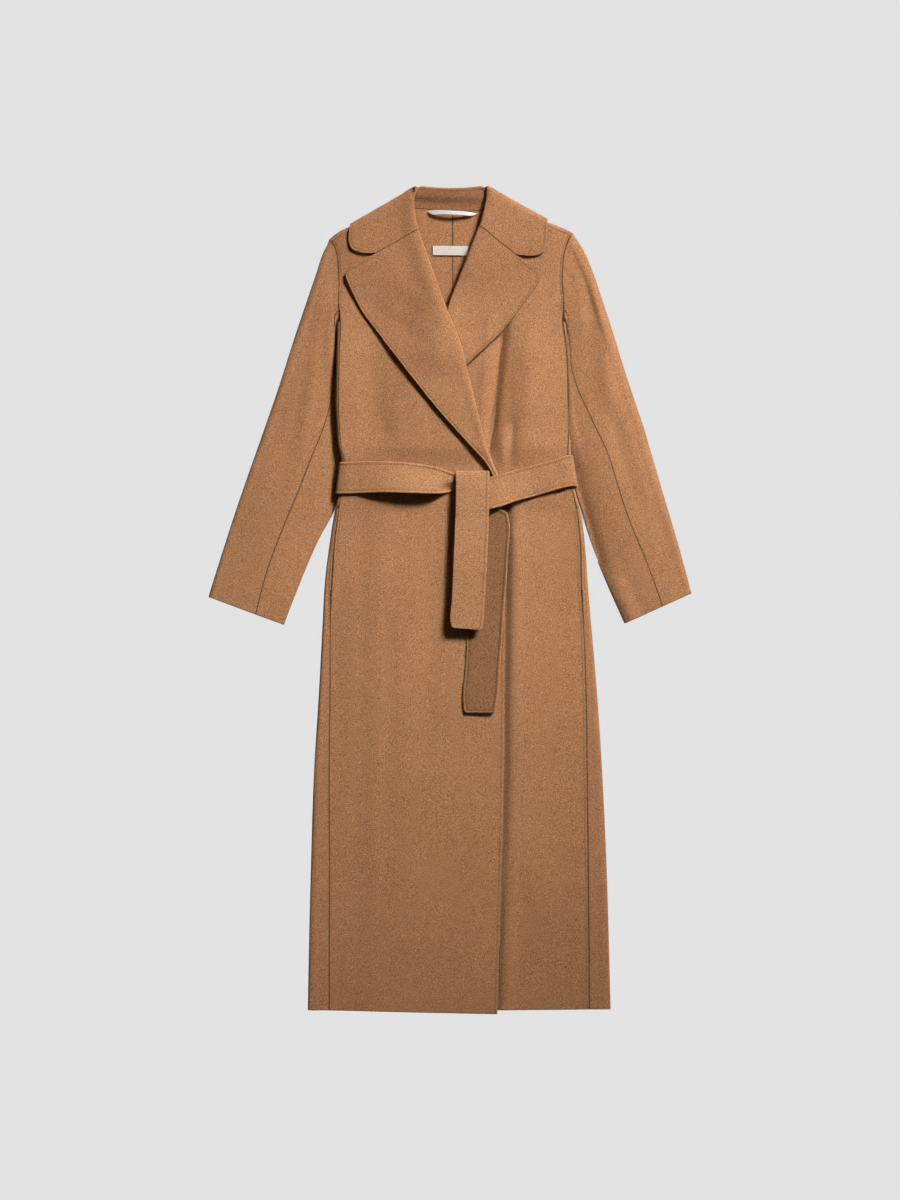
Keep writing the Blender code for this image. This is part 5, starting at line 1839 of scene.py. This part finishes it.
# The stage, in metres. The floor glows evenly, with painted shade only right beside the coat.

FLOOR_REACH = 6.0
FLOOR_Z = -0.0006         # just below the coat
FLOOR_GREY = 0.768
CONTACT_REACH = 0.02      # how near the coat paints shade on the floor
CONTACT_RANGE = (0.08, 0.28)
CONTACT_PAINTED_SHADE = 0.03
CONTACT_SAMPLES = 8
SKY_COLOUR = (1.0, 0.86, 0.72, 1.0)
SKY_STRENGTH = 0.025
KEY_PLACE = (2.40, 3.38, 3.00)
KEY_TARGET = (0.13, 0.26, 0.0)

# The key's two lamps share a place: a narrow white beam, and a wide red one that warms the
# cloth outside it.
LAMPS = Table("name place target size power spread colour", (
    ("key", KEY_PLACE, KEY_TARGET, 1.5, 12.8, 22.3, (0.92, 0.99, 1.0)),
    ("key_glow", KEY_PLACE, KEY_TARGET, 1.5, 13.2, 96.0, (1.0, 0.04, 0.0)),
    ("fill", (-0.6, 0.9, 2.6), (0.0, 0.2, 0.0), 1.6, 1.4, 180.0, (1.0, 0.88, 0.76)),
))
CAMERA_PLACE = (0.0, -0.00062, 6.0)    # straight above the middle of the photograph
FRAME_HEIGHT = 1.86       # how much of the floor the frame's height shows
SENSOR = 36.0             # millimetres


def area_light(name, place, target, size, power, spread, colour):
    """A square lamp facing a target, with its spread in degrees."""
    data = bpy.data.lights.new(name, "AREA")
    data.spread = math.radians(spread)
    data.shape = "SQUARE"
    data.size = size
    data.energy = power
    data.color = colour
    lamp = bpy.data.objects.new(name, data)
    lamp.location = place
    lamp.rotation_euler = (Vector(target) - Vector(place)).to_track_quat("-Z", "Y").to_euler()
    bpy.context.scene.collection.objects.link(lamp)


def lay_floor():
    """The plain pale floor, with painted shade right beside the coat."""
    corners = [(x * FLOOR_REACH, y * FLOOR_REACH, FLOOR_Z)
               for x, y in ((-1, -1), (1, -1), (1, 1), (-1, 1))]
    mesh = bpy.data.meshes.new("floor")
    mesh.from_pydata(corners, [], [(0, 1, 2, 3)])
    floor = bpy.data.objects.new("floor", mesh)
    bpy.context.scene.collection.objects.link(floor)
    floor.visible_diffuse = False
    paper, tree, shader = new_material("floor_paper")
    tree.nodes.remove(shader)
    # Painted shade: the floor's glow is darkened right beside the coat, where the coat closes it
    # in.
    open_floor = openness(tree, CONTACT_REACH, CONTACT_SAMPLES)
    strength = remap(tree, open_floor, CONTACT_RANGE, CONTACT_PAINTED_SHADE)
    glow = add(tree, "ShaderNodeEmission", {"Color": (FLOOR_GREY, FLOOR_GREY, FLOOR_GREY, 1.0),
                                            "Strength": strength})
    tree.links.new(glow.outputs[0], tree.nodes["Material Output"].inputs["Surface"])
    mesh.materials.append(paper)


def set_stage():
    """The floor, the lamps, the sky and the camera."""
    scene = bpy.context.scene
    lay_floor()
    for row in LAMPS.rows:
        area_light(*row)
    world = bpy.data.worlds.new("studio")
    scene.world = world
    world.use_nodes = True
    sky = world.node_tree.nodes["Background"]
    sky.inputs["Color"].default_value = SKY_COLOUR
    sky.inputs["Strength"].default_value = SKY_STRENGTH
    camera_data = bpy.data.cameras.new("camera")
    camera_data.sensor_width = SENSOR
    camera_data.lens = SENSOR * CAMERA_PLACE[2] / FRAME_HEIGHT
    camera = bpy.data.objects.new("camera", camera_data)
    camera.location = CAMERA_PLACE
    scene.collection.objects.link(camera)
    scene.camera = camera
    scene.view_settings.view_transform = "Standard"
    scene.view_settings.look = "None"


coat = build_coat()
declare_sheets()
set_stage()
